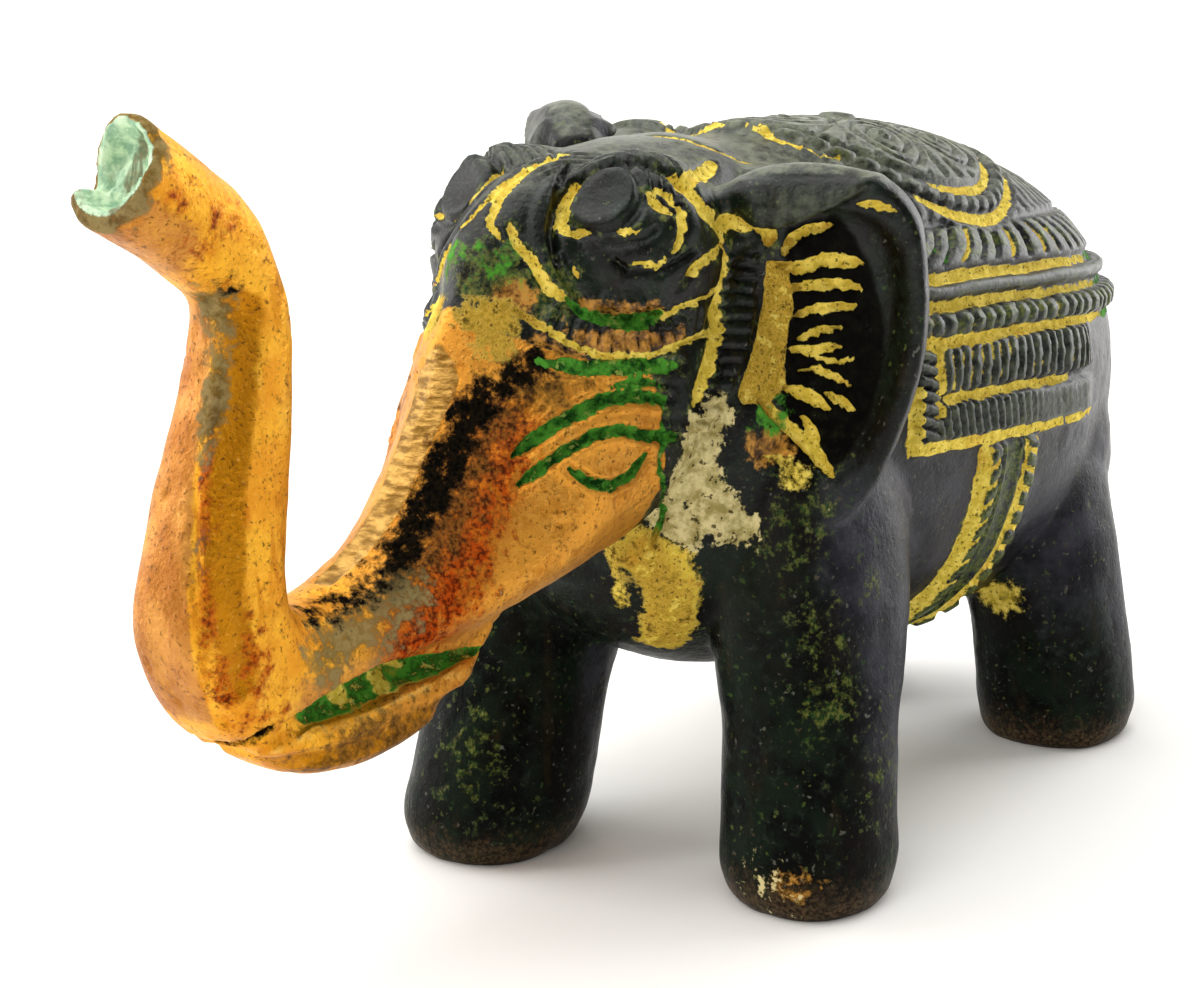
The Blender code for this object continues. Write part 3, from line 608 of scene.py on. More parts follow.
# Facets of the trunk on its left side, the middle one last: half width, depth, corners.
FACETS = (
    (0.50, 0.40, (
        (-56.6, -0.5, 46.7), (-57.7, -1.0, 41.3), (-59.3, -1.2, 37.1), (-60.2, -2.0, 32.8),
        (-60.0, -2.5, 28.3), (-58.8, -2.4, 23.1)
    )),
    (1.30, 0.32, (
        (-55.6, -2.3, 46.1), (-56.8, -2.6, 41.3), (-58.2, -3.1, 35.9), (-59.0, -3.4, 30.5),
        (-58.6, -3.5, 25.7)
    )),
)
# Where the rosy side of the trunk starts: z, y.
ROSY_EDGE = ((23.1, -2.3), (28.3, -2.5), (32.8, -2.0), (37.1, -1.2), (41.3, -1.0), (46.7, -0.5), (48.5, 0.5))

# Broad streaks of paint, tarnish and red oxide: kind, half width, strength, corners as x, |y|, z. Some kinds lie on
# the left side alone: on the other side they are far off.
LEFT_SIDE_ONLY = ("yellow", "ochre", "tarnish")
FAR_OFF = 99.0
STREAKS = (
    ("brown_and_shade", 3.6, 0.92, (
        (-34.6, 4.8, 38.9), (-37.2, 3.6, 36.6), (-39.4, 3.4, 33.4), (-41.6, 3.2, 30.6), (-44.6, 3.2, 28.6)
    )),
    ("tarnish", 2.0, 1.08, (
        (-33.6, 5.0, 39.9), (-35.6, 3.5, 38.5), (-37.4, 2.7, 36.6), (-39.2, 2.4, 34.2), (-41.3, 2.2, 31.4),
        (-43.5, 2.2, 29.5)
    )),
    ("tarnish", 2.2, 0.72, ((-43.3, 2.6, 29.5), (-46.6, 2.4, 27.9), (-51.4, 1.8, 27.4))),
    ("tarnish", 0.7, 0.95, ((-58.3, 0.0, 20.4), (-57.9, 1.6, 20.8), (-57.3, 2.8, 21.4), (-56.5, 3.7, 22.2))),
    ("stain", 3.0, 0.78, ((-44.6, 3.6, 27.6), (-48.0, 3.4, 26.4), (-51.8, 3.2, 25.2))),
    ("rust", 4.2, 1.05, (
        (-36.8, 4.8, 36.6), (-38.9, 4.5, 33.0), (-40.8, 4.5, 29.7), (-42.9, 4.6, 26.6), (-45.2, 4.5, 25.0)
    )),
    ("rose", 2.6, 0.80, ((-46.6, 4.4, 24.2), (-50.0, 4.0, 23.6), (-53.4, 3.8, 23.2))),
    ("brown_and_shade", 2.6, 0.62, ((-33.0, 5.6, 41.0), (-31.6, 6.8, 38.9), (-33.4, 6.4, 37.6))),
    ("buff", 1.7, 1.05, ((-22.6, 9.0, 34.2), (-23.3, 8.0, 31.5), (-22.9, 6.9, 28.4), (-21.6, 8.0, 26.9))),
    ("buff", 2.2, 1.1, (
        (-21.0, 9.9, 34.9), (-22.3, 9.2, 32.6), (-21.6, 9.0, 30.4), (-20.6, 9.8, 28.4), (-19.4, 10.4, 27.0)
    )),
    ("yellow", 2.5, 1.05, ((-23.2, 5.4, 25.4), (-22.0, 6.6, 24.4), (-20.8, 6.2, 22.0), (-19.6, 4.6, 18.6))),
    ("ochre", 3.6, 0.70, ((-23.2, 5.4, 25.4), (-20.8, 6.2, 22.0), (-19.6, 4.6, 18.6))),
    ("rust", 0.8, 0.78, (
        (-57.7, 1.5, 41.3), (-59.1, 1.9, 37.1), (-59.9, 2.4, 32.8), (-59.8, 2.7, 28.3), (-58.8, 2.7, 24.6)
    )),
    ("yellow", 1.2, 0.62, ((-25.2, 3.0, 26.0), (-25.0, 4.2, 23.4), (-23.2, 3.4, 21.4))),
)

# Cuts in the ear on its own plane, outwards and upwards from its root: half width, depth, paint, corners.
EAR_CUTS = (
    (0.36, 0.55, 0.85, ((3.4, 4.7), (4.1, 5.9), (5.1, 6.5), (6.8, 6.8))),
    (0.46, 0.60, 1.00, ((3.2, 4.1), (4.6, 3.9), (6.2, 4.5), (8.7, 4.3))),
    (0.40, 0.60, 0.95, ((4.0, 2.6), (5.7, 2.8), (7.2, 2.9), (8.7, 2.6))),
    (0.38, 0.60, 0.95, ((4.2, 0.6), (5.7, 1.2), (8.4, 1.4))),
    (0.36, 0.55, 0.85, ((4.5, -0.9), (5.9, -0.3), (7.4, 0.0))),
    (0.42, 0.55, 0.90, ((4.0, -1.5), (5.3, -1.6), (7.4, -1.3))),
    (0.26, 0.45, 0.70, ((5.5, -2.0), (7.2, -2.4), (8.1, -2.2))),
    (0.30, 0.50, 0.72, ((4.5, -3.0), (5.9, -2.9), (7.0, -3.4), (8.0, -4.0))),
    (0.46, 0.55, 1.00, ((3.7, -3.9), (5.3, -4.7), (6.6, -5.5))),
    (0.34, 0.50, 0.95, ((6.3, -4.5), (7.4, -5.0), (8.3, -5.7))),
    (0.48, 0.60, 1.00, ((2.2, -4.5), (3.4, -6.0), (4.7, -7.4), (5.8, -8.5), (6.8, -9.9))),
    (0.36, 0.50, 0.90, ((4.8, -5.9), (5.4, -6.8), (6.0, -8.1))),
    (0.40, 0.40, 0.50, ((2.2, -8.3), (4.0, -8.9), (4.8, -10.4))),
    (0.36, 0.35, 1.00, ((8.3, 8.3), (9.4, 8.35), (10.9, 7.9))),
)
# Painted panel by the ear's root: height, its inner and its outer edge; the sill below the rolled fold: place, height.
EAR_PANEL = (
    (4.3, 2.3, 3.7), (2.7, 2.2, 4.2), (1.4, 2.1, 4.4), (0.1, 1.8, 4.1), (-1.3, 1.5, 3.9), (-2.6, 1.0, 3.7),
    (-3.9, 0.5, 3.9), (-4.7, 0.8, 2.8),
)
EAR_SILL = ((0.0, 6.6), (1.5, 7.0), (3.0, 7.4), (5.0, 8.0), (7.0, 8.6), (9.0, 9.4), (11.0, 10.4))

# Broken tip of the trunk: its middle, the way it points, and the radius and depth of its hollow.
TIP = (-62.6, 0.0, 54.7)
TIP_AIM = (-0.875, 0.0, 0.484)
HOLLOW_REACH = 2.5
HOLLOW_DEPTH = 1.7
# How much of the rim is broken away, by bearing round the tip from +Y over the top, in degrees and millimetres.
TIP_BREAK = (
    (-180, 0.1), (-150, 0.0), (-110, 0.3), (-75, 0.0), (-42, -0.1), (-32, 0.2), (-20, 1.8), (-8, 1.9),
    (12, 1.4), (35, 0.9), (55, 0.4), (80, 0.0), (120, 0.0), (150, 0.4), (180, 0.1),
)

# Shares of each finish that are kept on the mesh; some of them are painted light: sheen, highlight and shade.
FINISHES = (
    "bare", "yellow", "green", "buff", "tarnish", "rust", "stain", "rose", "mint", "brown_and_shade", "black", "olive",
    "filed", "crest_rub_and_highlight", "cut", "dust_and_highlight", "painted_sheen", "ochre", "deep_shade",
)

# Patches of colour on the casting: middle, reach, finish and strength.
PATCHES = (
    ((-57.3, -1.2, 41.6), (1.3, 0.9, 6.6), "stain", 1.0),
    ((-56.6, -1.0, 46.2), (1.4, 1.6, 1.8), "stain", 0.9),
    ((-59.8, -2.2, 31.0), (0.8, 0.7, 5.0), "stain", 0.55),
    ((-52.2, -2.6, 29.2), (1.6, 1.8, 1.3), "green", 0.60),
    ((-52.6, -3.0, 27.6), (1.5, 1.6, 1.6), "olive", 0.9),
    ((-51.8, -3.2, 32.4), (1.2, 1.4, 4.2), "brown_and_shade", 0.45),
    ((-56.8, -3.0, 23.6), (2.6, 2.6, 2.4), "rust", 0.5),
    ((-59.0, -3.2, 36.0), (1.0, 0.6, 2.2), "rust", 0.6),
    ((-57.4, -3.6, 26.2), (1.6, 1.2, 3.4), "rust", 0.62),
    ((-60.6, -2.4, 53.0), (1.5, 1.6, 1.3), "rust", 0.62),
    ((-57.6, -2.6, 51.6), (2.2, 1.6, 1.2), "rust", 0.56),
    ((-56.6, -2.6, 47.3), (1.0, 1.4, 0.9), "tarnish", 0.75),
    ((-57.8, -2.0, 50.6), (2.2, 2.0, 1.4), "rust", 0.6),
    ((-34.3, -1.9, 42.6), (2.2, 3.2, 1.5), "yellow", 0.66),
    ((-35.0, -3.2, 41.2), (1.6, 2.2, 1.5), "yellow", 0.60),
    ((-34.8, -2.4, 42.0), (3.2, 4.6, 3.0), "ochre", 0.90),
    ((-34.5, 2.2, 42.2), (2.2, 2.6, 1.6), "yellow", 0.8),
    ((-33.2, 0.0, 45.6), (2.2, 5.2, 2.6), "green", 0.50),
    ((-33.4, -1.0, 45.2), (2.2, 4.6, 2.6), "olive", 1.0),
    ((-31.5, -5.0, 44.2), (2.2, 2.6, 2.6), "olive", 0.9),
    ((-33.5, -3.4, 43.9), (1.6, 1.8, 1.4), "brown_and_shade", 0.9),
    ((-32.8, 2.6, 45.6), (1.6, 1.8, 1.6), "brown_and_shade", 0.8),
    ((-17.2, -11.6, 32.3), (2.0, 1.8, 1.3), "brown_and_shade", 0.9),
    ((-16.0, -12.9, 30.2), (1.6, 1.6, 1.4), "yellow", 0.55),
    ((-16.6, -11.4, 34.2), (2.2, 2.0, 1.6), "green", 0.56),
    ((-16.2, -13.9, 27.8), (2.9, 2.6, 2.6), "olive", 0.66),
    ((-18.0, -15.8, 15.0), (1.8, 1.4, 3.0), "olive", 0.66),
    ((-20.0, -15.4, 2.9), (2.8, 2.4, 1.6), "brown_and_shade", 0.50),
    ((-12.6, -17.4, 22.6), (1.4, 1.4, 1.4), "olive", 0.80),
    ((-24.4, 8.9, 8.6), (2.0, 2.8, 4.2), "olive", 0.56),
    ((18.9, -9.6, 13.0), (1.3, 2.6, 1.9), "yellow", 0.66),
    ((-16.5, -15.8, 17.5), (3.2, 3.4, 6.5), "olive", 0.56),
    ((-13.5, -17.0, 9.0), (4.2, 3.4, 6.5), "olive", 0.52),
    ((-16.8, -12.6, 26.5), (3.8, 3.4, 4.0), "olive", 0.60),
    ((-24.6, 9.0, 10.0), (3.0, 4.4, 8.0), "olive", 0.50),
    ((-48.0, -4.6, 19.0), (8.0, 2.6, 2.3), "brown_and_shade", 0.80),
    # Painted sheen: both flanks are painted a lighter violet grey, as light falling on them.
    ((6.0, -15.5, 22.0), (15.0, 5.0, 9.0), "painted_sheen", 0.95),
    ((6.0, 15.5, 22.0), (15.0, 5.0, 9.0), "painted_sheen", 0.95),
    ((22.0, -14.5, 22.0), (12.0, 6.0, 13.0), "painted_sheen", 0.85),
    ((22.0, 14.5, 22.0), (12.0, 6.0, 13.0), "painted_sheen", 0.85),
    ((-11.0, -16.0, 24.0), (6.0, 4.0, 9.0), "painted_sheen", 0.95),
    ((-11.0, 15.0, 24.0), (6.0, 4.0, 9.0), "painted_sheen", 0.95),
    ((-21.5, -13.6, 2.6), (2.4, 3.6, 3.0), "buff", 0.40),
    ((-13.4, -13.6, 31.6), (4.4, 2.8, 3.6), "olive", 0.56),
)


def lay(finish, name, share):
    """Keep the larger of what a finish has at each point and the new share."""
    finish[name] = np.maximum(finish[name], share)


def between(value, span):
    """True where the value lies between the two ends of the span."""
    return (value > span[0]) & (value < span[1])


def along_cloth(x, side):
    """Distance back along the cloth: x down the flank, and an arc round the rump behind its start."""
    behind = np.maximum(x - RUMP_START, 0.0)
    return np.where(x < RUMP_START, x, RUMP_START + RUMP_ARC * np.arctan2(behind, np.maximum(side, 0.01)))


def carve_field(x, y, level, back, in_front, wander):
    """The cloth's top: rings by the distance from its middle, a rope of slanting cosines, six curls and the leaves.

    A curl's cut is a cosine of the distance from its own middle less its turn, so that it winds in. A leaf's cut
    is a cosine of the way along the cloth, which spreads and bends as the level falls."""
    around = np.hypot((x - FIELD_MIDDLE) * FIELD_STRETCH[0], y * FIELD_STRETCH[1]) + 0.3 * wander
    bearing = np.arctan2(y, x - FIELD_MIDDLE)
    field = at(FIELD_SECTION, around)
    field -= 0.36 * between(around, ROPE) * ribs(ROPE_TURNS * bearing / (2 * math.pi) + 0.6 * around, 1.0)
    petal = np.remainder(bearing + math.pi / CURLS, 2 * math.pi / CURLS) - math.pi / CURLS
    along, off = around * np.cos(petal) - CURL_MIDDLE, around * np.sin(petal)
    swirl = np.arctan2(off, along)
    nest = np.hypot(along / CURL_REACH[0], off / CURL_REACH[1])
    inner = between(around, CURL_RING)
    curls = (nest < 1.08) & inner
    wound = nest * 2.9 - swirl / (2 * math.pi) - 0.55
    field -= 0.50 * curls * np.clip(np.cos(2 * math.pi * wound) * 1.6 - 0.4, 0, 1)
    field += 0.25 * curls * hump(nest, 0.32)
    corner = (nest > 1.14) & inner
    field -= 0.34 * corner * ribs(bearing * 30 / (2 * math.pi) + 0.1 * around, 1.0)
    fall = np.clip((44.5 - level) / 2.3, -1.0, 1.4)
    bend = 0.6 * np.sin(math.pi * np.clip(fall, 0, 1))
    leaf_place = 12.5 + (back - 12.5 - bend) / (1 + 0.33 * np.clip(fall, -0.5, 1))
    outside = around > 13.75
    leaves = outside * ramp(level, 42.05, 42.4) * (1 - ramp(level, 44.3, 44.9)) * in_front
    leaf_cut = ribs(leaf_place, LEAF_WIDTH) ** 1.3
    scale_cut = ribs(leaf_place + 0.5 * LEAF_WIDTH, LEAF_WIDTH) * outside * ramp(level, 45.0, 45.4) * in_front
    field -= 0.36 * leaves * leaf_cut + 0.22 * scale_cut
    field += 0.08 * leaves * (1 - leaf_cut)
    field -= 0.35 * hump(level - 44.95, 0.35) * (around > 13.9)
    return field, around, leaves * leaf_cut, leaf_place


def carve_cloth(points, finish, wander):
    """The saddle cloth: bands are steps of the level z + fall * x, ribs are cosines of the way along it."""
    x, y, z = points.T
    level = z + BAND_FALL * x + 0.26 * wander
    back = along_cloth(x, np.abs(y)) + 0.35 * (uneven(points, 2.6, 21) - 0.5)
    in_front = ramp(x, CLOTH_FRONT - 0.3, CLOTH_FRONT)
    skirt_on = (1 - ramp(x, SKIRT_REAR - 2.6, SKIRT_REAR + 0.6)) * in_front
    strip = ramp(CLOTH_FRONT + 2.1 - x, -0.3, 0.0)
    middle, upper = between(level, MIDDLE_BAND), between(level, UPPER_BAND)
    fringe_cut = ribs(back + 0.30 * level, FRINGE_RIBS)
    middle_cut = ribs(back - 0.20 * level + 0.15 * np.sin(1.3 * back), MIDDLE_RIBS)
    upper_cut = ribs(back - 0.15 * level + 0.20 * np.sin(0.9 * back + 2.0), UPPER_RIBS)
    skirt = at(SKIRT_SECTION, level)
    skirt -= 0.46 * between(level, FRINGE) * (1 - strip) * fringe_cut * (1 - 0.9 * ramp(x, 5.0, 12.0))
    skirt -= (0.35 + 0.35 * uneven(points, 3.0, 22)) * middle * (1 - strip) * middle_cut
    in_strip = between(level, (FRINGE[0], MIDDLE_BAND[1])) & (strip > 0.5)
    skirt = np.where(in_strip, 0.72 - 0.55 * ribs(z + 0.35 * x, STRIP_RIBS), skirt)
    upright = hump(x - CLOTH_FRONT - 2.3 + 0.2 * wander, 0.46) * between(level, (31.9, 37.2))
    skirt = skirt * (1 - 0.8 * upright)
    band = at(BAND_SECTION, level) - 0.46 * upper * upper_cut
    on_top = (level > TOP_LEVEL) * in_front
    field, around, leaf_cut, leaf_place = carve_field(x, y, level, back, in_front, wander)
    high = np.where(level < SKIRT_TOP, skirt * skirt_on, band * in_front)
    high += field * on_top

    painted = np.zeros(len(x))
    for centre, half, front, rear in PAINTED_LEVELS:
        worn_half = half * (1.05 - 0.35 * ramp(x, 2.0, 26.0))
        line = ramp(hump(level - centre, worn_half), 0.05, 0.4) * in_front * (1 - ramp(x, rear - 3.0, rear))
        painted = np.maximum(painted, line * ramp(x, front, front + 0.6))
    painted = np.maximum(painted, ramp(upright, 0.05, 0.5))
    edge = ramp(hump(x - CLOTH_FRONT + 0.2, 0.62), 0.1, 0.5)
    painted = np.maximum(painted, edge * (level > 29.3) * (z < 34.5))
    fill = uneven(points, 2.2, 8)
    painted = np.maximum(painted, 0.85 * middle * skirt_on * (1 - strip) * middle_cut * ramp(fill, 0.25, 0.45))
    painted = np.maximum(painted, 0.60 * upper * in_front * upper_cut * ramp(fill, 0.35, 0.6))
    for reach, start, end in PAINTED_RINGS:
        painted = np.maximum(painted, ramp(hump(around - reach, 0.36), 0.1, 0.45) * on_top * ramp(x, start, end))
    leaf_number = np.floor(leaf_place / LEAF_WIDTH + 0.5)
    lucky = uneven(np.stack([leaf_number * 3.7, 0 * x, 0 * x], axis=1), 1.0, 5)
    painted = np.maximum(painted, 0.95 * leaf_cut * ramp(lucky, 0.42, 0.5))
    ends = ramp(x, 24.0, 29.0) * (level > 36.5) * (painted > 0.2)
    lay(finish, "yellow", painted * (1 - 0.7 * ends))
    lay(finish, "green", np.maximum(0.85 * ends, 0.6 * leaf_cut * ramp(5.0 - x, 0.0, 2.0)))
    near_paint = 0.62 * hump(level - 29.75, 1.1) * (x < 16.0)
    near_paint = near_paint + 0.6 * hump(level - 38.4, 3.4) + 0.66 * hump(level - 43.6, 1.8)
    lay(finish, "olive", near_paint * in_front * (x < 30.0))
    return high, level


def carve_girth(points, finish, wander, level):
    """The girth: a section across x round the belly, with two rows of beads."""
    x, z = points[:, 0], points[:, 2]
    below = 1 - ramp(level, 28.9, 29.3)
    off = x - GIRTH_MIDDLE + 0.25 * wander
    across = np.abs(off)
    row = np.abs(across - BEAD_ROW)
    gap = np.maximum(ribs(z + 0.8 * wander + 0.4 * np.sign(off) * off, BEAD_SPACING), ramp(row, 0.55, 0.95))
    high = (at(GIRTH_SECTION, off) + 0.45 * (row < 1.0) * (1 - gap)) * (below * (across < GIRTH_HALF))
    paint = np.maximum(hump(across - 4.05, 0.55), (row < 1.05) * gap)
    worn = np.where(off > 0, 0.80, 0.98)
    lay(finish, "yellow", ramp(paint, 0.1, 0.6) * below * (across < GIRTH_HALF + 0.3) * worn)
    lay(finish, "olive", 0.8 * below * ramp(5.4 - across, 0.0, 1.0))
    return high


def carve_head(points, normals, finish, wander):
    """Headdress: rings about each boss, a raised disc on it, ribbed borders along two chains, the strap, its knob."""
    x, y, z = points.T
    mirrored = np.stack([x, np.abs(y), z], axis=1)
    side = mirrored[:, 1]
    head = ramp(-x, 17.0, 18.0)
    boss = np.linalg.norm(mirrored - BOSS_MIDDLE, axis=1) + 0.15 * wander
    disc = np.linalg.norm(mirrored - DISC_MIDDLE, axis=1) + 0.15 * wander
    ring = at(BOSS_SECTION, boss)
    ring = np.where((boss > 4.4) & (side > 9.0), 0.25, ring) * (side > 1.5)
    high = (ring + at(DISC_SECTION, disc)) * head * (boss < BOSS_REACH)
    lumps = (boss < 4.6) * (disc > DISC_REACH)
    high += lumps * head * 0.7 * (uneven(points, 1.7, 31) - 0.5)
    brushed = ramp(z, 49.0, 49.8) * (disc > DISC_REACH) * (disc < 6.5) * ramp(x, -28.5, -27.0) * head
    high -= 0.34 * brushed * ribs(disc + 0.5 * wander, 0.72)

    away, way, _ = path_place(mirrored, HEM, normals)
    border = head * hump(away, 1.0) ** 0.3 * (away < 1.0)
    rib = ribs(way + 0.3 * wander, HEM_RIBS)
    high += border * (0.55 - 0.42 * rib)
    worn = ramp(uneven(points, 2.0, 33), 0.25, 0.5) * (0.95 - 0.45 * rib) * ramp(way, 0.3, 1.6)
    lay(finish, "brown_and_shade", border * worn)
    away, way, _ = path_place(mirrored, UPPER_HEM, normals)
    border = head * hump(away, 0.62) ** 0.4
    high += border * (0.25 - 0.3 * ribs(way, UPPER_HEM_RIBS))
    lay(finish, "brown_and_shade", 0.8 * border)

    left, right = at(STRAP_LEFT[::-1], z), at(STRAP_RIGHT[::-1], z)
    strap = ramp(x - left, 0.3, 0.6) * ramp(right - x, 0.0, 0.3) * (z > 34.0) * (z < 45.2) * (side > 8.0)
    high += strap * (0.45 - 0.42 * ribs(z + 0.5 * wander + 0.15 * x, STRAP_RIBS))
    knob = np.linalg.norm((mirrored - KNOB_MIDDLE) / KNOB_REACH, axis=1)
    high += 0.75 * np.clip(1.6 - 1.4 * knob, 0.0, 1.0)
    return high


def carve_lines(points, normals, finish, wander):
    """Each graver line: a parabola across its distance from a chain of points, filled with paint or left bare.

    The trunk's facets are wider parabolas. A streak fades as a power of its distance from its chain; some lie only
    on the left side."""
    x, y, z = points.T
    mirrored = np.stack([x, np.abs(y), z], axis=1)
    high = np.zeros(len(x))
    ragged = 1 + 0.45 * wander + 0.5 * (uneven(points, 1.3, 10) - 0.5)
    for fill, half, depth, corners in LINES:
        away, place, length = path_place(mirrored, corners, normals)
        near = hump(away, half * ragged * tapered(place, length, 1.6 if fill == "green" else 0.7))
        high -= depth * near
        if fill == "green":
            high += 0.16 * hump(away - 1.25 * half, 0.3) * (away > half)
        if fill in ("yellow", "green"):
            lay(finish, fill, ramp(near, 0.08, 0.42))
            lay(finish, "olive", 0.62 * hump(away, 2.6 * half) * (x > -33.5))
    for half, depth, corners in FACETS:
        away = path_place(points, corners)[0]
        high -= depth * hump(away, half)
    # Painted shade: the last facet, down the middle of the side, is painted a darker, deeper orange.
    finish["deep_shade"] = ramp(hump(away + 0.4 * wander, 1.6), 0.0, 0.8)
    mirrored[:, 1] -= 2.4 * (y > 0) * (x < -30.0)
    for kind, half, most, corners in STREAKS:
        away = path_place(mirrored, corners, normals)[0]
        if kind in LEFT_SIDE_ONLY:
            away = np.where(y > 0, FAR_OFF, away)
        lay(finish, kind, most * np.clip(1.05 - (away / half) ** 1.6, 0.0, 1.0))
    return high


def carve_mouth(points, finish, wander):
    """The open mouth: its section by (z - lip) / (jaw - lip) at each x, yellow paint that the green lies torn over.

    Below the lip's edge a rolled rim stands proud and a groove runs under it, both parabolas of the way down."""
    x, y, z = points.T
    places, lips, jaws = (np.array(column) for column in zip(*MOUTH_EDGES))
    lip, jaw = np.interp(x, places, lips), np.interp(x, places, jaws)
    up = (z - lip + 0.1 * wander) / (jaw - lip)
    off_middle = ramp(np.abs(y), 1.2, 2.0)
    on = ramp(x, -56.2, -54.4) * ramp(MOUTH_CORNER - x, 0.0, 1.2) * off_middle
    wide = np.clip((jaw - lip) / 2.0, 0.35, 1.0)
    inside = ramp(up, 0.02, 0.16) * ramp(1.06 - up, 0.0, 0.1) * ramp(x, -54.2, -52.6)
    inside = inside * ramp(MOUTH_CORNER - x, 0.0, 0.6) * off_middle
    leaf = hump(np.hypot((x + 46.8) / 4.4, (up - 0.44) / 0.46), 1.0)
    torn = ramp(uneven(points, 1.1, 71), 0.30, 0.60)
    lay(finish, "green", inside * (1 - ramp(leaf, 0.15, 0.5) * torn))
    lay(finish, "yellow", 0.90 * inside)
    lay(finish, "olive", 0.7 * on * hump(up - 0.15, 0.3))
    below = lip - z - 0.1 * wander
    rolled = ramp(x, -57.4, -56.0) * ramp(-38.0 - x, 0.0, 2.5) * off_middle
    rim = (0.55 * hump(below - 0.45, 0.75) - 0.34 * hump(below - 1.65, 0.7)) * rolled
    # Painted shadow: the groove under the rolled rim is painted brown, the lip below it a darker, deeper orange.
    lay(finish, "brown_and_shade", 0.55 * hump(below - 1.8, 0.9) * rolled)
    lay(finish, "deep_shade", ramp(below, 0.9, 1.4) * rolled)
    return at(MOUTH_SECTION, up) * on * wide + rim


def carve_ears(points, finish, wander):
    """Each ear on its own plane: cuts along chains, a painted panel between two edges, a rolled fold over the sill."""
    x, y, z = points.T
    high = np.zeros(len(x))
    levels, lefts, rights = (np.array(column[::-1]) for column in zip(*EAR_PANEL))
    for root, spread, which, raise_by in EARS:
        out = np.asarray(spread) / np.linalg.norm(spread)
        across = (x - root[0]) * out[0] + (y * which - root[1]) * out[1]
        ahead = (x - root[0]) * out[1] - (y * which - root[1]) * out[0]
        up = (z - root[2] - 0.5 * raise_by) / (1 + raise_by / EAR_TALL)
        near = between(ahead, (-2.9, 2.4)) & (y * which < 0) & between(across, (0.2, 13.4)) & (np.abs(up) < 12.5)
        flat = np.stack([across, up], axis=1)
        paint = np.zeros(len(x))
        for half, depth, share, corners in EAR_CUTS:
            away, place, length = path_place(flat, corners)
            cut = hump(away, half * tapered(place, length, 1.2) * (1.0 + 0.5 * wander))
            high -= depth * cut * near
            paint = np.maximum(paint, ramp(cut, 0.06, 0.4) * share)
        left, right = np.interp(up, levels, lefts), np.interp(up, levels, rights)
        panel = ramp(across - left, 0.0, 0.25) * ramp(right + 0.5 * wander - across, 0.0, 0.25)
        panel = panel * ramp(up, -4.9, -4.5) * ramp(4.6 - up, 0.0, 0.3)
        high -= 0.22 * panel * near
        sill = at(EAR_SILL, across)
        fold = near * ramp(up - sill + 0.5 * wander, -0.2, 0.5)
        high += 1.5 * fold * ramp(10.2 - up, 0.0, 1.4) * ramp(across, 0.2, 1.5)
        root_side = near * ramp(right + 0.9 - across, 0.0, 0.9)
        lay(finish, "ochre", root_side * (across > left - 0.4) * (np.abs(up) < 6.0))
        lay(finish, "yellow", np.maximum(paint, panel) * near)
        rounded = (up + 1) ** 2
        fan = near * ramp(across - right, 0.0, 0.3) * ramp(9.6 - 0.06 * rounded - across, 0.0, 0.8)
        high -= 0.30 * fan * between(up, (-9.5, 7.5)) * ramp(uneven(points, 0.8, 41), 0.45, 0.8)
        inner = ramp(sill - 0.4 - up, 0.0, 0.9) * ramp(up + 10.4, 0.0, 1.8) * near
        lay(finish, "black", inner * ramp(across, 3.0, 4.0) * ramp(10.8 - 0.04 * rounded - across, 0.0, 1.0))
    return high


def rub_bare(points, finish, wander):
    """Bare brass: below a slanting line over the brow, ahead of one behind the eye, on all the trunk and the chin."""
    x, y, z = points.T
    side = np.abs(y)
    crown = np.maximum(39.9, 43.6 - 0.53 * side)
    edge = -x - 25.6 - 0.35 * np.maximum(z - 36.5, 0) + 0.5 * wander
    bare = ramp(crown - z - 0.2 * wander, 0.0, 0.5) * ramp(edge, 0.0, 0.6)
    bare = np.maximum(bare, ramp(-x, 37.0, 38.0))
    chin = ramp(29.5 - z, 0.0, 1.0) * (side < 8.0) * ramp(z, 23.2, 24.0) * ramp(-x, 24.4, 26.5)
    finish["bare"] = np.clip(np.maximum(bare, chin), 0, 1) * ((z > 17.0) | (x < -30.0))


def lay_colours(points, finish, wander):
    """Patches that fade with the distance from their middles, the rosy side of the trunk, and the hollow tip."""
    x, y, z = points.T
    for centre, reach, kind, most in PATCHES:
        spot = 1 - np.linalg.norm((points - centre) / reach, axis=1)
        lay(finish, kind, most * np.clip(0.5 + 0.9 * spot, 0, 1) * (spot > -0.6))
    rosy = ramp(y - at(ROSY_EDGE, z) + 0.4 * wander, 0.0, 0.5) * ramp(-53.5 - 0.25 * (44.0 - z) - x, 0.0, 1.0)
    lay(finish, "rose", rosy * ramp(48.5 - z, 0.0, 3.0))
    low_trunk = ramp(51.5 - z - 0.6 * (x + 58.0), 0.0, 1.5) * ramp(-57.5 - x, 0.0, 2.0) * (z > 46.0)
    lay(finish, "rose", 0.8 * low_trunk)

    apart = points - np.asarray(TIP)
    along_tip = apart @ np.asarray(TIP_AIM)
    from_axis = np.linalg.norm(apart - along_tip[:, None] * np.asarray(TIP_AIM), axis=1)
    finish["mint"] = ramp(along_tip, -1.6, -0.6) * ramp(HOLLOW_REACH + 0.5 - from_axis, 0.0, 0.5)
    rim = ramp(from_axis, HOLLOW_REACH - 0.2, HOLLOW_REACH + 0.2)
    lay(finish, "stain", 0.9 * ramp(along_tip, -1.6, -0.5) * rim)


def file_the_ridge(points, finish, wander):
    """Depth of the strip that is filed flat down the trunk's root: a parabola across it, and level scratches."""
    x, y, z = points.T
    side = np.abs(y)
    half = (0.72 + 0.098 * (z - 28.0)) * (1 + 0.25 * wander) * ramp(42.6 - z, 0.0, 1.6) ** 0.5 + 1e-6
    filed = ramp(half - side + 0.3 * wander, 0.0, 0.2) * ramp(-x, 36.6, 37.2) * ramp(x, -48.6, -47.8) * (z > 27.9)
    finish["filed"] = filed
    return filed * (0.34 * (1 - (side / half) ** 2) + 0.07 * uneven(points * (0.35, 0.35, 1.0), 0.45, 61))


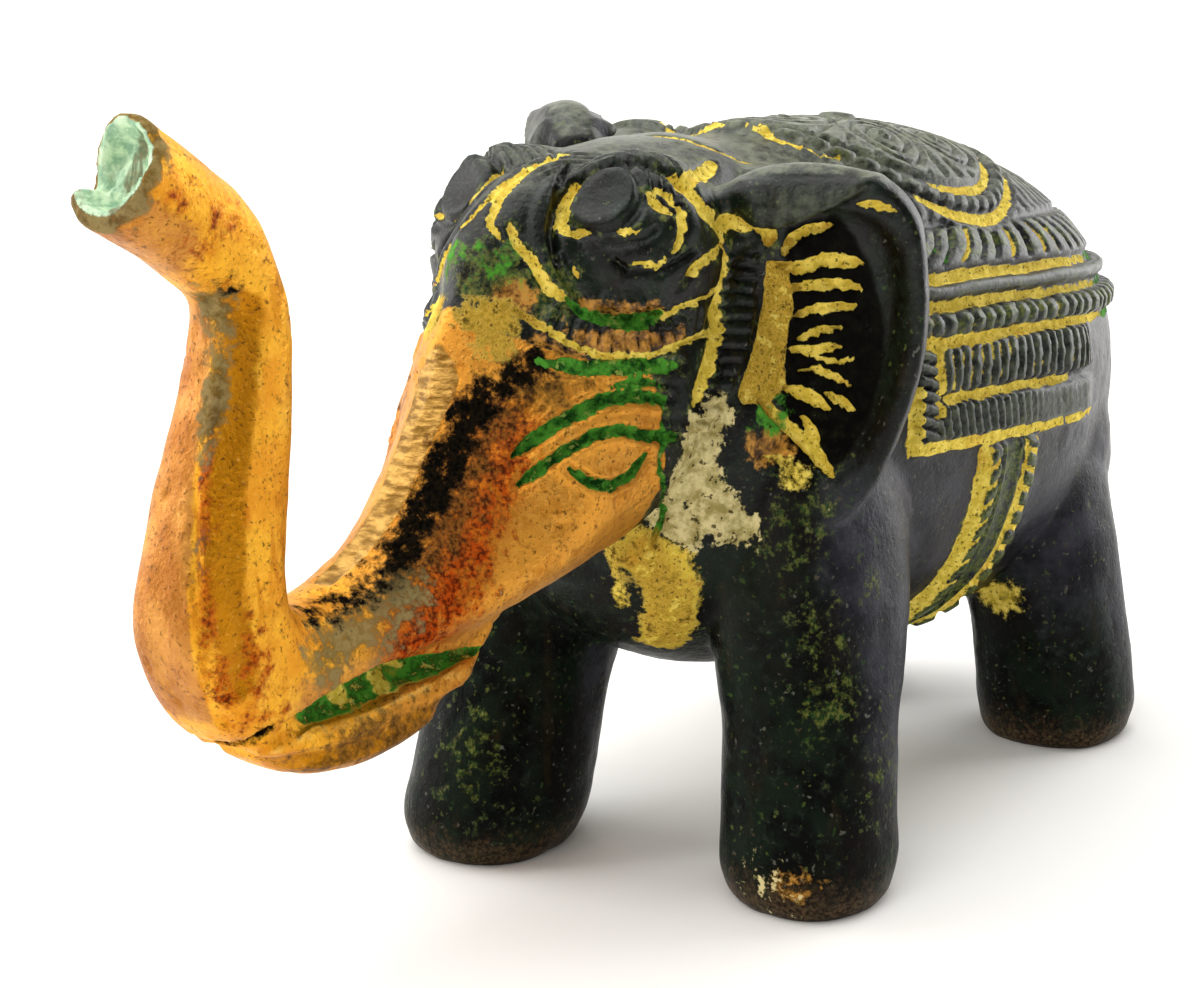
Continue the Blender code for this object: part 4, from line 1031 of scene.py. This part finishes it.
def worn_and_carved(points, normals):
    """Height of the carving over the skin in drawn millimetres, and the share of each finish, at each point.

    Crests and cuts follow that height, the crests rubbed pale and painted lighter as highlight. A painted sheen follows
    how far the skin faces the flank or the rear, and dust with a painted highlight how far it faces up. Noise makes the
    skin uneven and pits it."""
    x, y, z = points.T
    wander = uneven(points, 4.5, 3) - 0.5
    finish = {name: np.zeros(len(x)) for name in FINISHES}
    high, level = carve_cloth(points, finish, wander)
    high += carve_girth(points, finish, wander, level)
    facing = normals * np.stack([np.ones(len(x)), np.where(y < 0, -1.0, 1.0), np.ones(len(x))], axis=1)
    high += carve_head(points, facing, finish, wander)
    high += carve_lines(points, facing, finish, wander)
    high += carve_ears(points, finish, wander)
    high += carve_mouth(points, finish, wander)
    rub_bare(points, finish, wander)
    lay_colours(points, finish, wander)
    high -= file_the_ridge(points, finish, wander)

    # Crests: raised places are rubbed pale, and also painted lighter as highlight.
    finish["crest_rub_and_highlight"] = ramp(high, 0.15, 0.8) * np.maximum(ramp(x, -19.0, -16.0), finish["bare"])
    finish["cut"] = ramp(-high, 0.06, 0.34) * (1 - finish["bare"])
    for name in ("tarnish", "yellow"):
        finish[name] *= 1 - finish["filed"] * ramp(41.2 - z, 0.0, 0.6)
    # Painted sheen: skin that faces the flank or the rear is painted lighter, as if lit from that side.
    lit_side_share = ramp(0.62 * normals[:, 0] + 0.78 * np.abs(normals[:, 1]) + 0.2 * wander, 0.25, 0.95)
    lay(finish, "painted_sheen", lit_side_share * ramp(x, -20.0, -16.0) * ramp(z, 1.0, 9.0))
    # Dust and painted highlight: faces that turn up are painted paler, dust lying there and light falling from above.
    dust_and_highlight = ramp(normals[:, 2] + 0.25 * wander, 0.50, 0.95) * (1 - finish["bare"])
    finish["dust_and_highlight"] = dust_and_highlight * (1 - 0.4 * ramp(-x, 19.0, 22.0))
    high += 0.18 * (uneven(points, 3.2, 11) - 0.5) + 0.10 * (uneven(points, 1.2, 12) - 0.5)
    pits = ramp(uneven(points, 0.75, 13), 0.76, 0.92) * (0.35 + 0.65 * finish["bare"])
    high -= 0.13 * pits
    return high, finish


def tip_push(points):
    """How far each point is pushed back along the trunk: the hollow end, and its rim broken away by bearing."""
    aim, up = np.asarray(TIP_AIM), np.array([TIP_AIM[2], 0.0, -TIP_AIM[0]])
    apart = points - np.asarray(TIP)
    along = apart @ aim
    beside = apart - along[:, None] * aim
    from_axis = np.linalg.norm(beside, axis=1)
    bearing = np.degrees(np.arctan2(beside @ up, beside[:, 1]))
    broken = at(TIP_BREAK, bearing) * ramp(from_axis, 0.4, 1.8)
    hollow = (HOLLOW_DEPTH + 0.45 * broken) * np.clip(1.25 - 1.25 * (from_axis / HOLLOW_REACH) ** 5, 0.0, 1.0)
    lumps = 0.9 * (uneven(points, 1.3, 51) - 0.5) * (from_axis < HOLLOW_REACH)
    return np.maximum(hollow + lumps, broken) * ramp(along, -5.5, 0.0)


def mesh_points(mesh):
    """All points of a mesh as rows of x, y, z."""
    flat = np.empty(len(mesh.vertices) * 3)
    mesh.vertices.foreach_get("co", flat)
    return flat.reshape(-1, 3)


def carve(mesh):
    """Move each point along its normal by the carving, and keep each finish as an attribute of the points."""
    points = mesh_points(mesh) / MM
    normals = np.empty(len(points) * 3, dtype=np.float32)
    mesh.vertex_normals.foreach_get("vector", normals)
    normals = normals.reshape(-1, 3).astype(float)
    high, finish = worn_and_carved(points, normals)
    moved = points + normals * high[:, None]
    moved -= tip_push(points)[:, None] * np.asarray(TIP_AIM)
    mesh.vertices.foreach_set("co", (moved * MM).ravel())
    for name, share in finish.items():
        layer = mesh.attributes.new(name, "FLOAT", "POINT")
        layer.data.foreach_set("value", share.astype(np.float32))
    mesh.update()


def stand_flat(mesh):
    """Cut the feet level at the ground and close the cuts."""
    cut = bmesh.new()
    cut.from_mesh(mesh)
    everything = cut.verts[:] + cut.edges[:] + cut.faces[:]
    ground = bmesh.ops.bisect_plane(
        cut, geom=everything, plane_co=(0, 0, 0), plane_no=(0, 0, 1), dist=1e-7, clear_inner=True
    )
    rims = [item for item in ground["geom_cut"] if isinstance(item, bmesh.types.BMEdge)]
    bmesh.ops.holes_fill(cut, edges=rims)
    bmesh.ops.triangulate(cut, faces=[face for face in cut.faces if len(face.verts) > 3])
    cut.to_mesh(mesh)
    cut.free()


def inside_the_solid(mesh):
    """Put the plan's middle on the solid's, and keep every point inside the solid's box."""
    low, high = (np.asarray(corner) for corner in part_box(NODE))
    points = mesh_points(mesh)
    move = 0.5 * (low + high) - 0.5 * (points.min(axis=0) + points.max(axis=0))
    move[2] = 0.0
    mesh.vertices.foreach_set("co", np.clip(points + move, low, high).ravel())
    mesh.update()


def linear(hex_colour):
    """An sRGB hex colour as linear red, green, blue and full alpha."""
    parts = [int(hex_colour[i : i + 2], 16) / 255 for i in (1, 3, 5)]
    return [c / 12.92 if c <= 0.04045 else ((c + 0.055) / 1.055) ** 2.4 for c in parts] + [1.0]


def add(tree, kind, links=None, **settings):
    """One node with its settings; links maps its inputs to sockets or to plain values."""
    node = tree.nodes.new(kind)
    for name, value in settings.items():
        setattr(node, name, value)
    for key, source in (links or {}).items():
        if isinstance(source, bpy.types.NodeSocket):
            tree.links.new(source, node.inputs[key])
        else:
            node.inputs[key].default_value = source
    return node


# Noise fields of the surface: size in millimetres, detail, roughness, scale of each axis.
GRAINS = {
    # Grain of the casting skin: about 0.1 mm, too fine to show, so it is drawn at 0.3 mm.
    "fine": (0.30, 4.0, 0.55, (1.0, 1.0, 1.0)),
    # Chips in patina and paint, about a millimetre across.
    "chips": (0.90, 5.0, 0.68, (1.0, 1.0, 1.0)),
    # Single specks of paint and verdigris.
    "flecks": (0.55, 2.0, 0.50, (1.0, 1.0, 1.0)),
    # Blotches where the patina took unevenly.
    "mottle": (3.2, 4.0, 0.60, (1.0, 1.0, 1.0)),
    # Slow change of tone over a limb.
    "cloud": (9.0, 3.0, 0.55, (1.0, 1.0, 1.0)),
    # Runs, four times as long down the figure as across it.
    "run": (1.9, 4.0, 0.60, (1.0, 1.0, 0.25)),
    # File marks: level and about 0.1 mm wide, too fine to show, so they are drawn at 0.38 mm.
    "file_marks": (0.38, 3.0, 0.55, (0.24, 0.24, 1.0)),
}

# Layers of colour from the bottom up: field that places it, start and end of its smooth step, how much noise eats its
# edge, its strength, the field it keeps within, two colours, and the field that blends them. Colours are sRGB.
# Patina: greens, browns and a painted bluish sheen on near black, crests rubbed pale and painted with highlight, soot
# in the cuts, dust on upward faces painted pale as highlight too, earth at the feet.
PATINA = (
    ("mottle", 0.40, 0.60, 0.0, 0.95, None, "patina_green", "#0E1A11", "chips"),
    ("cloud", 0.50, 0.38, 0.0, 0.80, None, "#15120F", "#0A0808", "chips"),
    ("chips", 0.52, 0.66, 0.0, 0.55, None, "#1B221B", "#2A3328", "fine"),
    ("run", 0.58, 0.70, 0.0, 0.55, None, "#2A2416", "#1C160C", "chips"),
    # Painted sheen on the flanks.
    ("painted_sheen", 0.30, 0.90, 0.8, 0.85, None, "#1B1A21", "#36353E", "mottle"),
    # Crests rubbed pale, partly a painted highlight.
    ("crest_rub_and_highlight", 0.30, 0.90, 0.9, 0.62, None, "#262B22", "#555B4A", "chips"),
    # Dust on upward faces, partly a painted highlight.
    ("dust_and_highlight", 0.30, 0.95, 0.8, 0.55, None, "#42473C", "#858A72", "chips"),
    ("cut", 0.30, 0.80, 0.6, 0.85, None, "#040403", "#0B0D08", "chips"),
    ("olive", 0.50, 0.86, 2.6, 0.75, None, "#1E3A18", "#6C7030", "fine"),
    ("flecks", 0.65, 0.71, 0.0, 0.80, "cloud", "#69723A", "#31501E", "mottle"),
    ("flecks", 0.33, 0.27, 0.0, 0.55, None, "#6E7268", "#4A3A28", "mottle"),
    ("height", 0.0036, 0.0, 0.008, 0.65, None, "#2C2118", "#66523A", "fine"),
    ("black", 0.30, 0.80, 0.8, 0.95, None, "#040302", "#0C0B07", "chips"),
    ("brown_and_shade", 0.36, 0.72, 1.6, 1.00, None, "#4A2C0E", "#C48C3A", "chips"),
)
# Brass: golden face, more orange trunk, a deeper orange painted as shade, bright specks painted as glints, dark pits,
# crests rubbed pale and painted with highlight, file marks, then oxide, brown with a painted shadow, stain and soot.
BRASS = (
    ("mottle", 0.35, 0.70, 0.0, 0.9, None, "#B4701E", "#DCA044", "chips"),
    ("cloud", 0.50, 0.66, 0.0, 0.55, None, "#A8661C", "#BE7E2A", "run"),
    ("ahead", -0.034, -0.041, 0.004, 1.0, None, "trunk_orange", "#EAAC30", "mottle"),
    ("run", 0.52, 0.64, 0.0, 0.75, "ahead_mask", "#C88212", "#B8640A", "cloud"),
    ("run", 0.44, 0.34, 0.0, 0.65, "ahead_mask", "#F2B83C", "#DEA23C", "chips"),
    # Painted shade: a darker, deeper orange on the trunk's middle facet and under the lip.
    ("deep_shade", 0.15, 0.80, 1.1, 0.90, None, "#A86A04", "#C07E0C", "run"),
    ("rose", 0.30, 0.85, 1.0, 0.80, None, "#9C5E28", "#C08244", "mottle"),
    # Painted glints: bright gold specks over the brass.
    ("fine", 0.40, 0.30, 0.0, 0.30, None, "#E8B85A", "#DCA64A", "chips"),
    ("chips", 0.56, 0.72, 0.0, 0.68, None, "#824C16", "#5E3A16", "fine"),
    ("fine", 0.575, 0.69, 0.0, 0.75, None, "#6A4014", "#3E280E", "chips"),
    # Crests rubbed pale, partly a painted highlight.
    ("crest_rub_and_highlight", 0.40, 0.90, 0.8, 0.75, None, "#EAB040", "#F8D06E", "chips"),
    ("filed", 0.30, 0.60, 0.3, 0.95, None, "#76561F", "#C69C52", "file_marks"),
    ("rust", 0.25, 0.85, 2.0, 0.90, None, "#8A3E0A", "#CC6E14", "fine"),
    ("rust", 0.60, 1.10, 2.6, 0.95, None, "#4E1404", "#A83E08", "fine"),
    # Brown deposits, and a painted shadow in the groove under the lip.
    ("brown_and_shade", 0.36, 0.90, 2.2, 0.85, None, "#33230E", "#7A5420", "fine"),
    ("stain", 0.34, 0.80, 2.2, 0.88, None, "#3A3418", "#8A7C50", "chips"),
    ("tarnish", 0.36, 0.95, 2.7, 1.00, None, "#020201", "#161006", "fine"),
)
# Coats over patina and brass alike: buff deposit, yellow paint, verdigris, the pale green of the hollow tip.
COATS = (
    ("buff", 0.46, 0.60, 2.2, 1.0, None, "#94864E", "#D2C48E", "chips"),
    ("yellow", 0.36, 0.60, 1.3, 1.0, None, "#C4A830", "paint_yellow", "chips"),
    ("green", 0.38, 0.62, 1.3, 1.0, None, "#123A12", "verdigris", "chips"),
    ("mint", 0.40, 0.60, 1.0, 1.0, None, "#8FB494", "#D2E8C4", "chips"),
)
# Dirt, wear and chips in those coats.
SPECKS = (
    ("ochre", 0.30, 0.75, 1.4, 0.90, "yellow_mask", "#8E701C", "#C29C3C", "fine"),
    ("fine", 0.57, 0.66, 0.0, 0.80, "yellow_mask", "#4E3A0E", "#2E240A", "chips"),
    ("chips", 0.44, 0.36, 0.0, 0.55, "yellow_mask", "#F8E47C", "#EED45E", "fine"),
    ("chips", 0.57, 0.65, 0.0, 0.80, "ochre_mask", "#161206", "#30260C", "fine"),
    ("mottle", 0.56, 0.66, 0.0, 0.35, "yellow_mask", "#B87C1C", "#D09A34", "chips"),
    ("flecks", 0.60, 0.68, 0.0, 0.70, "green_mask", "#A6B85A", "#6E8E3A", "chips"),
    ("flecks", 0.62, 0.68, 0.0, 0.90, "buff_mask", "#2A2416", "#4A3E22", "chips"),
    ("run", 0.52, 0.62, 0.0, 0.85, "mint_mask", "#5E6246", "#7C6E4C", "fine"),
)


# Sockets of a Mix node: two colours and their result, and two numbers.
COLOUR_A, COLOUR_B, COLOUR_OUT = 6, 7, 2
NUMBER_A, NUMBER_B = 2, 3
# Where two tones of a layer blend on their noise.
TONE_BLEND = (0.36, 0.64)
# Roughness: least, and how much the chips add, on patina and on bare brass; then on paint and corrosion.
PATINA_ROUGHNESS = (0.14, 0.34)
BARE_ROUGHNESS = (0.34, 0.25)
PAINT_ROUGHNESS = 0.78
# Most of a bare place that reflects as metal.
METAL_SHARE = 0.85
# The patina gleams more on the back, where it is handled: heights in metres, and the specular level at each.
GLOSS_HEIGHTS = (0.016, 0.044)
GLOSS = (0.04, 0.24)


def smooth_step(tree, fields, field, low, high, eaten, most, within):
    """A layer's share: its field, bent by the chips, between low and high, times the field it keeps within."""
    value = fields[field]
    if eaten:
        links = {0: fields["chips"], 1: eaten, 2: -0.5 * eaten}
        bent = add(tree, "ShaderNodeMath", links, operation="MULTIPLY_ADD").outputs[0]
        value = add(tree, "ShaderNodeMath", {0: value, 1: bent}, operation="ADD").outputs[0]
    links = {"Value": value, "From Min": low, "From Max": high, "To Max": most}
    share = add(tree, "ShaderNodeMapRange", links, interpolation_type="SMOOTHSTEP").outputs["Result"]
    if within:
        share = add(tree, "ShaderNodeMath", {0: share, 1: fields[within]}, operation="MULTIPLY").outputs[0]
    return share


def laid_over(tree, fields, look, colour, layers):
    """The layers' colours over one another; each layer also leaves its share among the fields under its name."""
    for field, low, high, eaten, most, within, first, second, tone in layers:
        share = smooth_step(tree, fields, field, low, high, eaten, most, within)
        pair = [linear(getattr(look, name) if hasattr(look, name) else name) for name in (first, second)]
        links = {"Value": fields[tone], "From Min": TONE_BLEND[0], "From Max": TONE_BLEND[1]}
        blend = add(tree, "ShaderNodeMapRange", links, interpolation_type="SMOOTHSTEP").outputs["Result"]
        links = {"Factor": blend, COLOUR_A: pair[0], COLOUR_B: pair[1]}
        tint = add(tree, "ShaderNodeMix", links, data_type="RGBA").outputs[COLOUR_OUT]
        links = {"Factor": share, COLOUR_A: colour, COLOUR_B: tint}
        colour = add(tree, "ShaderNodeMix", links, data_type="RGBA").outputs[COLOUR_OUT]
        fields[field + "_mask"] = share
    return colour


def chased_brass(look):
    """Cast brass, chased with gravers, patinated dark, painted in its cuts and rubbed bare by hands.

    To the eye it is a near black skin with a soft gleam along the back, matt paint and verdigris sunk in its lines,
    and warm gold with pits and file marks where the metal shows."""
    material = bpy.data.materials.new("cast brass, dark patina, worn bare")
    material.use_nodes = True
    tree = material.node_tree
    tree.nodes.clear()
    place = add(tree, "ShaderNodeTexCoord").outputs["Object"]
    fields = {}
    for name, (size, detail, rough, stretch) in GRAINS.items():
        drawn = add(tree, "ShaderNodeMapping", {"Vector": place, "Scale": stretch}).outputs["Vector"]
        links = {"Vector": drawn, "Scale": 1.0 / (size * MM), "Detail": detail, "Roughness": rough}
        fields[name] = add(tree, "ShaderNodeTexNoise", links).outputs["Fac"]
    for name in FINISHES:
        fields[name] = add(tree, "ShaderNodeAttribute", attribute_name=name).outputs["Fac"]
    axes = add(tree, "ShaderNodeSeparateXYZ", {0: place})
    fields["ahead"], fields["height"] = axes.outputs["X"], axes.outputs["Z"]

    # Painted light in these layers: flank sheen, highlight on crests and tops, shade on trunk and lip, glints.
    patina = laid_over(tree, fields, look, linear(look.patina_dark), PATINA)
    brass = laid_over(tree, fields, look, linear(look.face_gold), BRASS)
    bare = smooth_step(tree, fields, "bare", 0.35, 0.65, 1.0, 1.0, None)
    links = {"Factor": bare, COLOUR_A: patina, COLOUR_B: brass}
    colour = add(tree, "ShaderNodeMix", links, data_type="RGBA").outputs[COLOUR_OUT]
    colour = laid_over(tree, fields, look, colour, COATS)
    covered = fields["yellow_mask"]
    for name in ("green_mask", "buff_mask", "mint_mask"):
        covered = add(tree, "ShaderNodeMath", {0: covered, 1: fields[name]}, operation="MAXIMUM").outputs[0]
    colour = laid_over(tree, fields, look, colour, SPECKS)

    # Paint, corrosion and soot are dull; only clean bare brass is metal.
    dull = covered
    for name in ("tarnish_mask", "stain_mask", "rust_mask", "black_mask"):
        dull = add(tree, "ShaderNodeMath", {0: dull, 1: fields[name]}, operation="MAXIMUM").outputs[0]
    shiny = add(tree, "ShaderNodeMath", {0: METAL_SHARE, 1: dull}, operation="SUBTRACT", use_clamp=True).outputs[0]
    metal = add(tree, "ShaderNodeMath", {0: bare, 1: shiny}, operation="MULTIPLY").outputs[0]
    tones = []
    for least, added in (PATINA_ROUGHNESS, BARE_ROUGHNESS):
        links = {0: fields["chips"], 1: added, 2: least}
        tones.append(add(tree, "ShaderNodeMath", links, operation="MULTIPLY_ADD").outputs[0])
    roughness = add(tree, "ShaderNodeMix", {"Factor": bare, NUMBER_A: tones[0], NUMBER_B: tones[1]}).outputs[0]
    links = {"Factor": dull, NUMBER_A: roughness, NUMBER_B: PAINT_ROUGHNESS}
    roughness = add(tree, "ShaderNodeMix", links).outputs[0]

    links = {"Value": fields["height"], "From Min": GLOSS_HEIGHTS[0], "From Max": GLOSS_HEIGHTS[1]}
    gloss = add(tree, "ShaderNodeMapRange", {**links, "To Min": GLOSS[0], "To Max": GLOSS[1]}).outputs["Result"]
    clean = add(tree, "ShaderNodeMath", {0: dull, 1: -0.8, 2: 1.0}, operation="MULTIPLY_ADD").outputs[0]
    gloss = add(tree, "ShaderNodeMath", {0: gloss, 1: clean}, operation="MULTIPLY").outputs[0]

    # Chips, with grain, the thickness of the paint and the file marks added, and all of it deeper in bare brass.
    marked = add(tree, "ShaderNodeMath", {0: fields["file_marks"], 1: fields["filed"]}, operation="MULTIPLY").outputs[0]
    relief = fields["chips"]
    for field, depth in ((fields["fine"], 0.5), (covered, 0.5), (marked, 1.3)):
        links = {0: field, 1: depth, 2: relief}
        relief = add(tree, "ShaderNodeMath", links, operation="MULTIPLY_ADD").outputs[0]
    deeper = add(tree, "ShaderNodeMath", {0: bare, 1: 1.0, 2: 0.9}, operation="MULTIPLY_ADD").outputs[0]
    relief = add(tree, "ShaderNodeMath", {0: relief, 1: deeper}, operation="MULTIPLY").outputs[0]
    links = {"Strength": 0.6, "Distance": 0.16 * MM, "Height": relief}
    bump = add(tree, "ShaderNodeBump", links).outputs["Normal"]
    links = {"Base Color": colour, "Metallic": metal, "Roughness": roughness, "Normal": bump}
    surface = add(tree, "ShaderNodeBsdfPrincipled", links)
    # The middle of the gloss stands on the socket for an export that can't follow the link.
    surface.inputs["Specular IOR Level"].default_value = 0.5 * sum(GLOSS)
    tree.links.new(gloss, surface.inputs["Specular IOR Level"])
    output = add(tree, "ShaderNodeOutputMaterial")
    tree.links.new(surface.outputs["BSDF"], output.inputs["Surface"])
    return material


def paper_sweep():
    """Corners and faces of a sheet that lies flat, bends up as a quarter circle and stands, turned to the camera."""
    angle = np.linspace(0.0, 0.5 * math.pi, 24)
    run = np.concatenate([[SWEEP_NEAR], SWEEP_FLAT + SWEEP_BEND * np.sin(angle), [SWEEP_FLAT + SWEEP_BEND]])
    rise = np.concatenate([[0.0], SWEEP_BEND - SWEEP_BEND * np.cos(angle), [SWEEP_TOP]])
    across = np.repeat([-SWEEP_HALF, SWEEP_HALF], len(run))
    run, rise = np.tile(run, 2), np.tile(rise, 2)
    turn = math.radians(CAMERA_TURN[0])
    x = across * math.cos(turn) - run * math.sin(turn)
    y = across * math.sin(turn) + run * math.cos(turn)
    count = len(run) // 2
    faces = [(i, i + count, i + count + 1, i + 1) for i in range(count - 1)]
    return np.stack([x, y, rise], axis=1), faces


def turned_to_face(back, roll=0.0):
    """Turn that points an object's -Z along the reverse of back, with its top up, rolled about its own axis."""
    turn = Vector([float(v) for v in back]).to_track_quat("Z", "Y").to_matrix()
    return (turn @ Matrix.Rotation(roll, 3, "Z")).to_euler()


class ElephantCasting(bpy.types.PropertyGroup):
    """Sizes of the casting."""

    grain: bpy.props.FloatProperty(
        name="Skin grain",
        description="Size of the cells that melt the limbs together",
        default=0.00026,
        unit="LENGTH",
        precision=5,
    )
    softening: bpy.props.IntProperty(
        name="Softening", description="Rounds that soften the joins of the limbs", default=28
    )
    most_triangles: bpy.props.IntProperty(
        name="Most triangles", description="Triangles kept in the mesh", default=196000
    )


class ElephantLook(bpy.types.PropertyGroup):
    """Colours of the casting as sRGB hex values."""

    patina_dark: bpy.props.StringProperty(
        name="Dark patina", description="Body of the casting", default="#060705"
    )
    patina_green: bpy.props.StringProperty(
        name="Green patina", description="Second tone of the body", default="#121B12"
    )
    face_gold: bpy.props.StringProperty(
        name="Bare face", description="Rubbed brass of the face", default="#DA9838"
    )
    trunk_orange: bpy.props.StringProperty(
        name="Bare trunk", description="Rubbed brass of the trunk", default="#DA9222"
    )
    paint_yellow: bpy.props.StringProperty(
        name="Yellow paint", description="Old paint in the cuts", default="#F0D866"
    )
    verdigris: bpy.props.StringProperty(
        name="Verdigris", description="Green in the cuts of the eye", default="#4E9430"
    )


class ELEPHANT_OT_cast(bpy.types.Operator):
    """Cast, carve and colour the whole elephant"""

    bl_idname = "elephant.cast"
    bl_label = "Cast the elephant"

    def execute(self, context):
        size, look = context.scene.elephant_casting, context.scene.elephant_look
        mesh = applied(melted_skins(size.grain, size.softening))
        carve(mesh)
        whole = bpy.data.objects.new("carved", mesh)
        context.scene.collection.objects.link(whole)
        thin = whole.modifiers.new("thin", "DECIMATE")
        thin.ratio = min(1.0, size.most_triangles / (2 * len(mesh.polygons)))
        final = applied(whole)
        stand_flat(final)
        inside_the_solid(final)
        final.shade_smooth()
        final.materials.clear()
        final.materials.append(chased_brass(look))
        final.name = "elephant_casting"
        casting = bpy.data.objects.new("elephant_casting", final)
        context.scene.collection.objects.link(casting)
        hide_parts(NODE)
        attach(casting, "root")
        return {"FINISHED"}


class ELEPHANT_OT_stage(bpy.types.Operator):
    """Set the pale paper, the lights and the camera"""

    bl_idname = "elephant.stage"
    bl_label = "Set the stage"

    def execute(self, context):
        scene = context.scene
        mesh = bpy.data.meshes.new("paper_sweep")
        points, faces = paper_sweep()
        mesh.from_pydata(points, [], faces)
        mesh.shade_smooth()
        sweep = bpy.data.objects.new("paper_sweep", mesh)
        scene.collection.objects.link(sweep)
        # Uncoated paper, rolled matt: no highlight, only the soft shadow of the figure.
        paper = bpy.data.materials.new("white paper")
        paper.use_nodes = True
        surface = paper.node_tree.nodes["Principled BSDF"]
        surface.inputs["Base Color"].default_value = linear("#F6F5F2")
        surface.inputs["Roughness"].default_value = 0.9
        mesh.materials.append(paper)

        world = bpy.data.worlds.new("pale room")
        world.use_nodes = True
        room = world.node_tree.nodes["Background"]
        room.inputs["Color"].default_value = ROOM_COLOUR
        room.inputs["Strength"].default_value = ROOM_STRENGTH
        scene.world = world
        scene.view_settings.view_transform = "Standard"

        for name, spot, aim, reach, power in LAMPS:
            lamp = bpy.data.lights.new(name, "AREA")
            lamp.size = reach
            lamp.energy = power
            light = bpy.data.objects.new(name, lamp)
            light.location = spot
            light.rotation_euler = turned_to_face(np.asarray(spot) - np.asarray(aim))
            scene.collection.objects.link(light)

        eye = bpy.data.cameras.new("view")
        eye.sensor_width = FILM_WIDTH
        eye.lens = CAMERA_FOCAL * FILM_WIDTH
        eye.clip_start = 0.01
        camera = bpy.data.objects.new("view", eye)
        azimuth, elevation, roll = (math.radians(angle) for angle in CAMERA_TURN)
        level = math.cos(elevation)
        back = np.array([math.sin(azimuth) * level, -math.cos(azimuth) * level, math.sin(elevation)])
        place = np.array(CAMERA_AIM) + CAMERA_DISTANCE * back
        camera.location = place * MM + np.array(DRAWN_TO_ORIGIN)
        camera.rotation_euler = turned_to_face(back, roll)
        scene.collection.objects.link(camera)
        scene.camera = camera
        return {"FINISHED"}


class ELEPHANT_PT_panel(bpy.types.Panel):
    """Sizes, colours and steps of the elephant"""

    bl_idname = "ELEPHANT_PT_panel"
    bl_label = "Brass Elephant"
    bl_space_type = "VIEW_3D"
    bl_region_type = "UI"
    bl_category = "Elephant"

    def draw(self, context):
        for group in (context.scene.elephant_casting, context.scene.elephant_look):
            for name in group.bl_rna.properties.keys():
                if name not in {"rna_type", "name"}:
                    self.layout.prop(group, name)
        for step in (ELEPHANT_OT_cast, ELEPHANT_OT_stage):
            self.layout.operator(step.bl_idname)


CLASSES = (ElephantCasting, ElephantLook, ELEPHANT_OT_cast, ELEPHANT_OT_stage, ELEPHANT_PT_panel)


def register():
    """Register the classes and hang the sizes and colours on the scene."""
    for item in CLASSES:
        bpy.utils.register_class(item)
    bpy.types.Scene.elephant_casting = bpy.props.PointerProperty(type=ElephantCasting)
    bpy.types.Scene.elephant_look = bpy.props.PointerProperty(type=ElephantLook)


def unregister():
    """Undo what register did, in the reverse order."""
    del bpy.types.Scene.elephant_look
    del bpy.types.Scene.elephant_casting
    for item in reversed(CLASSES):
        bpy.utils.unregister_class(item)


def main():
    """Make the casting and the stage."""
    register()
    bpy.ops.elephant.cast()
    bpy.ops.elephant.stage()


if __name__ == "__main__":
    main()
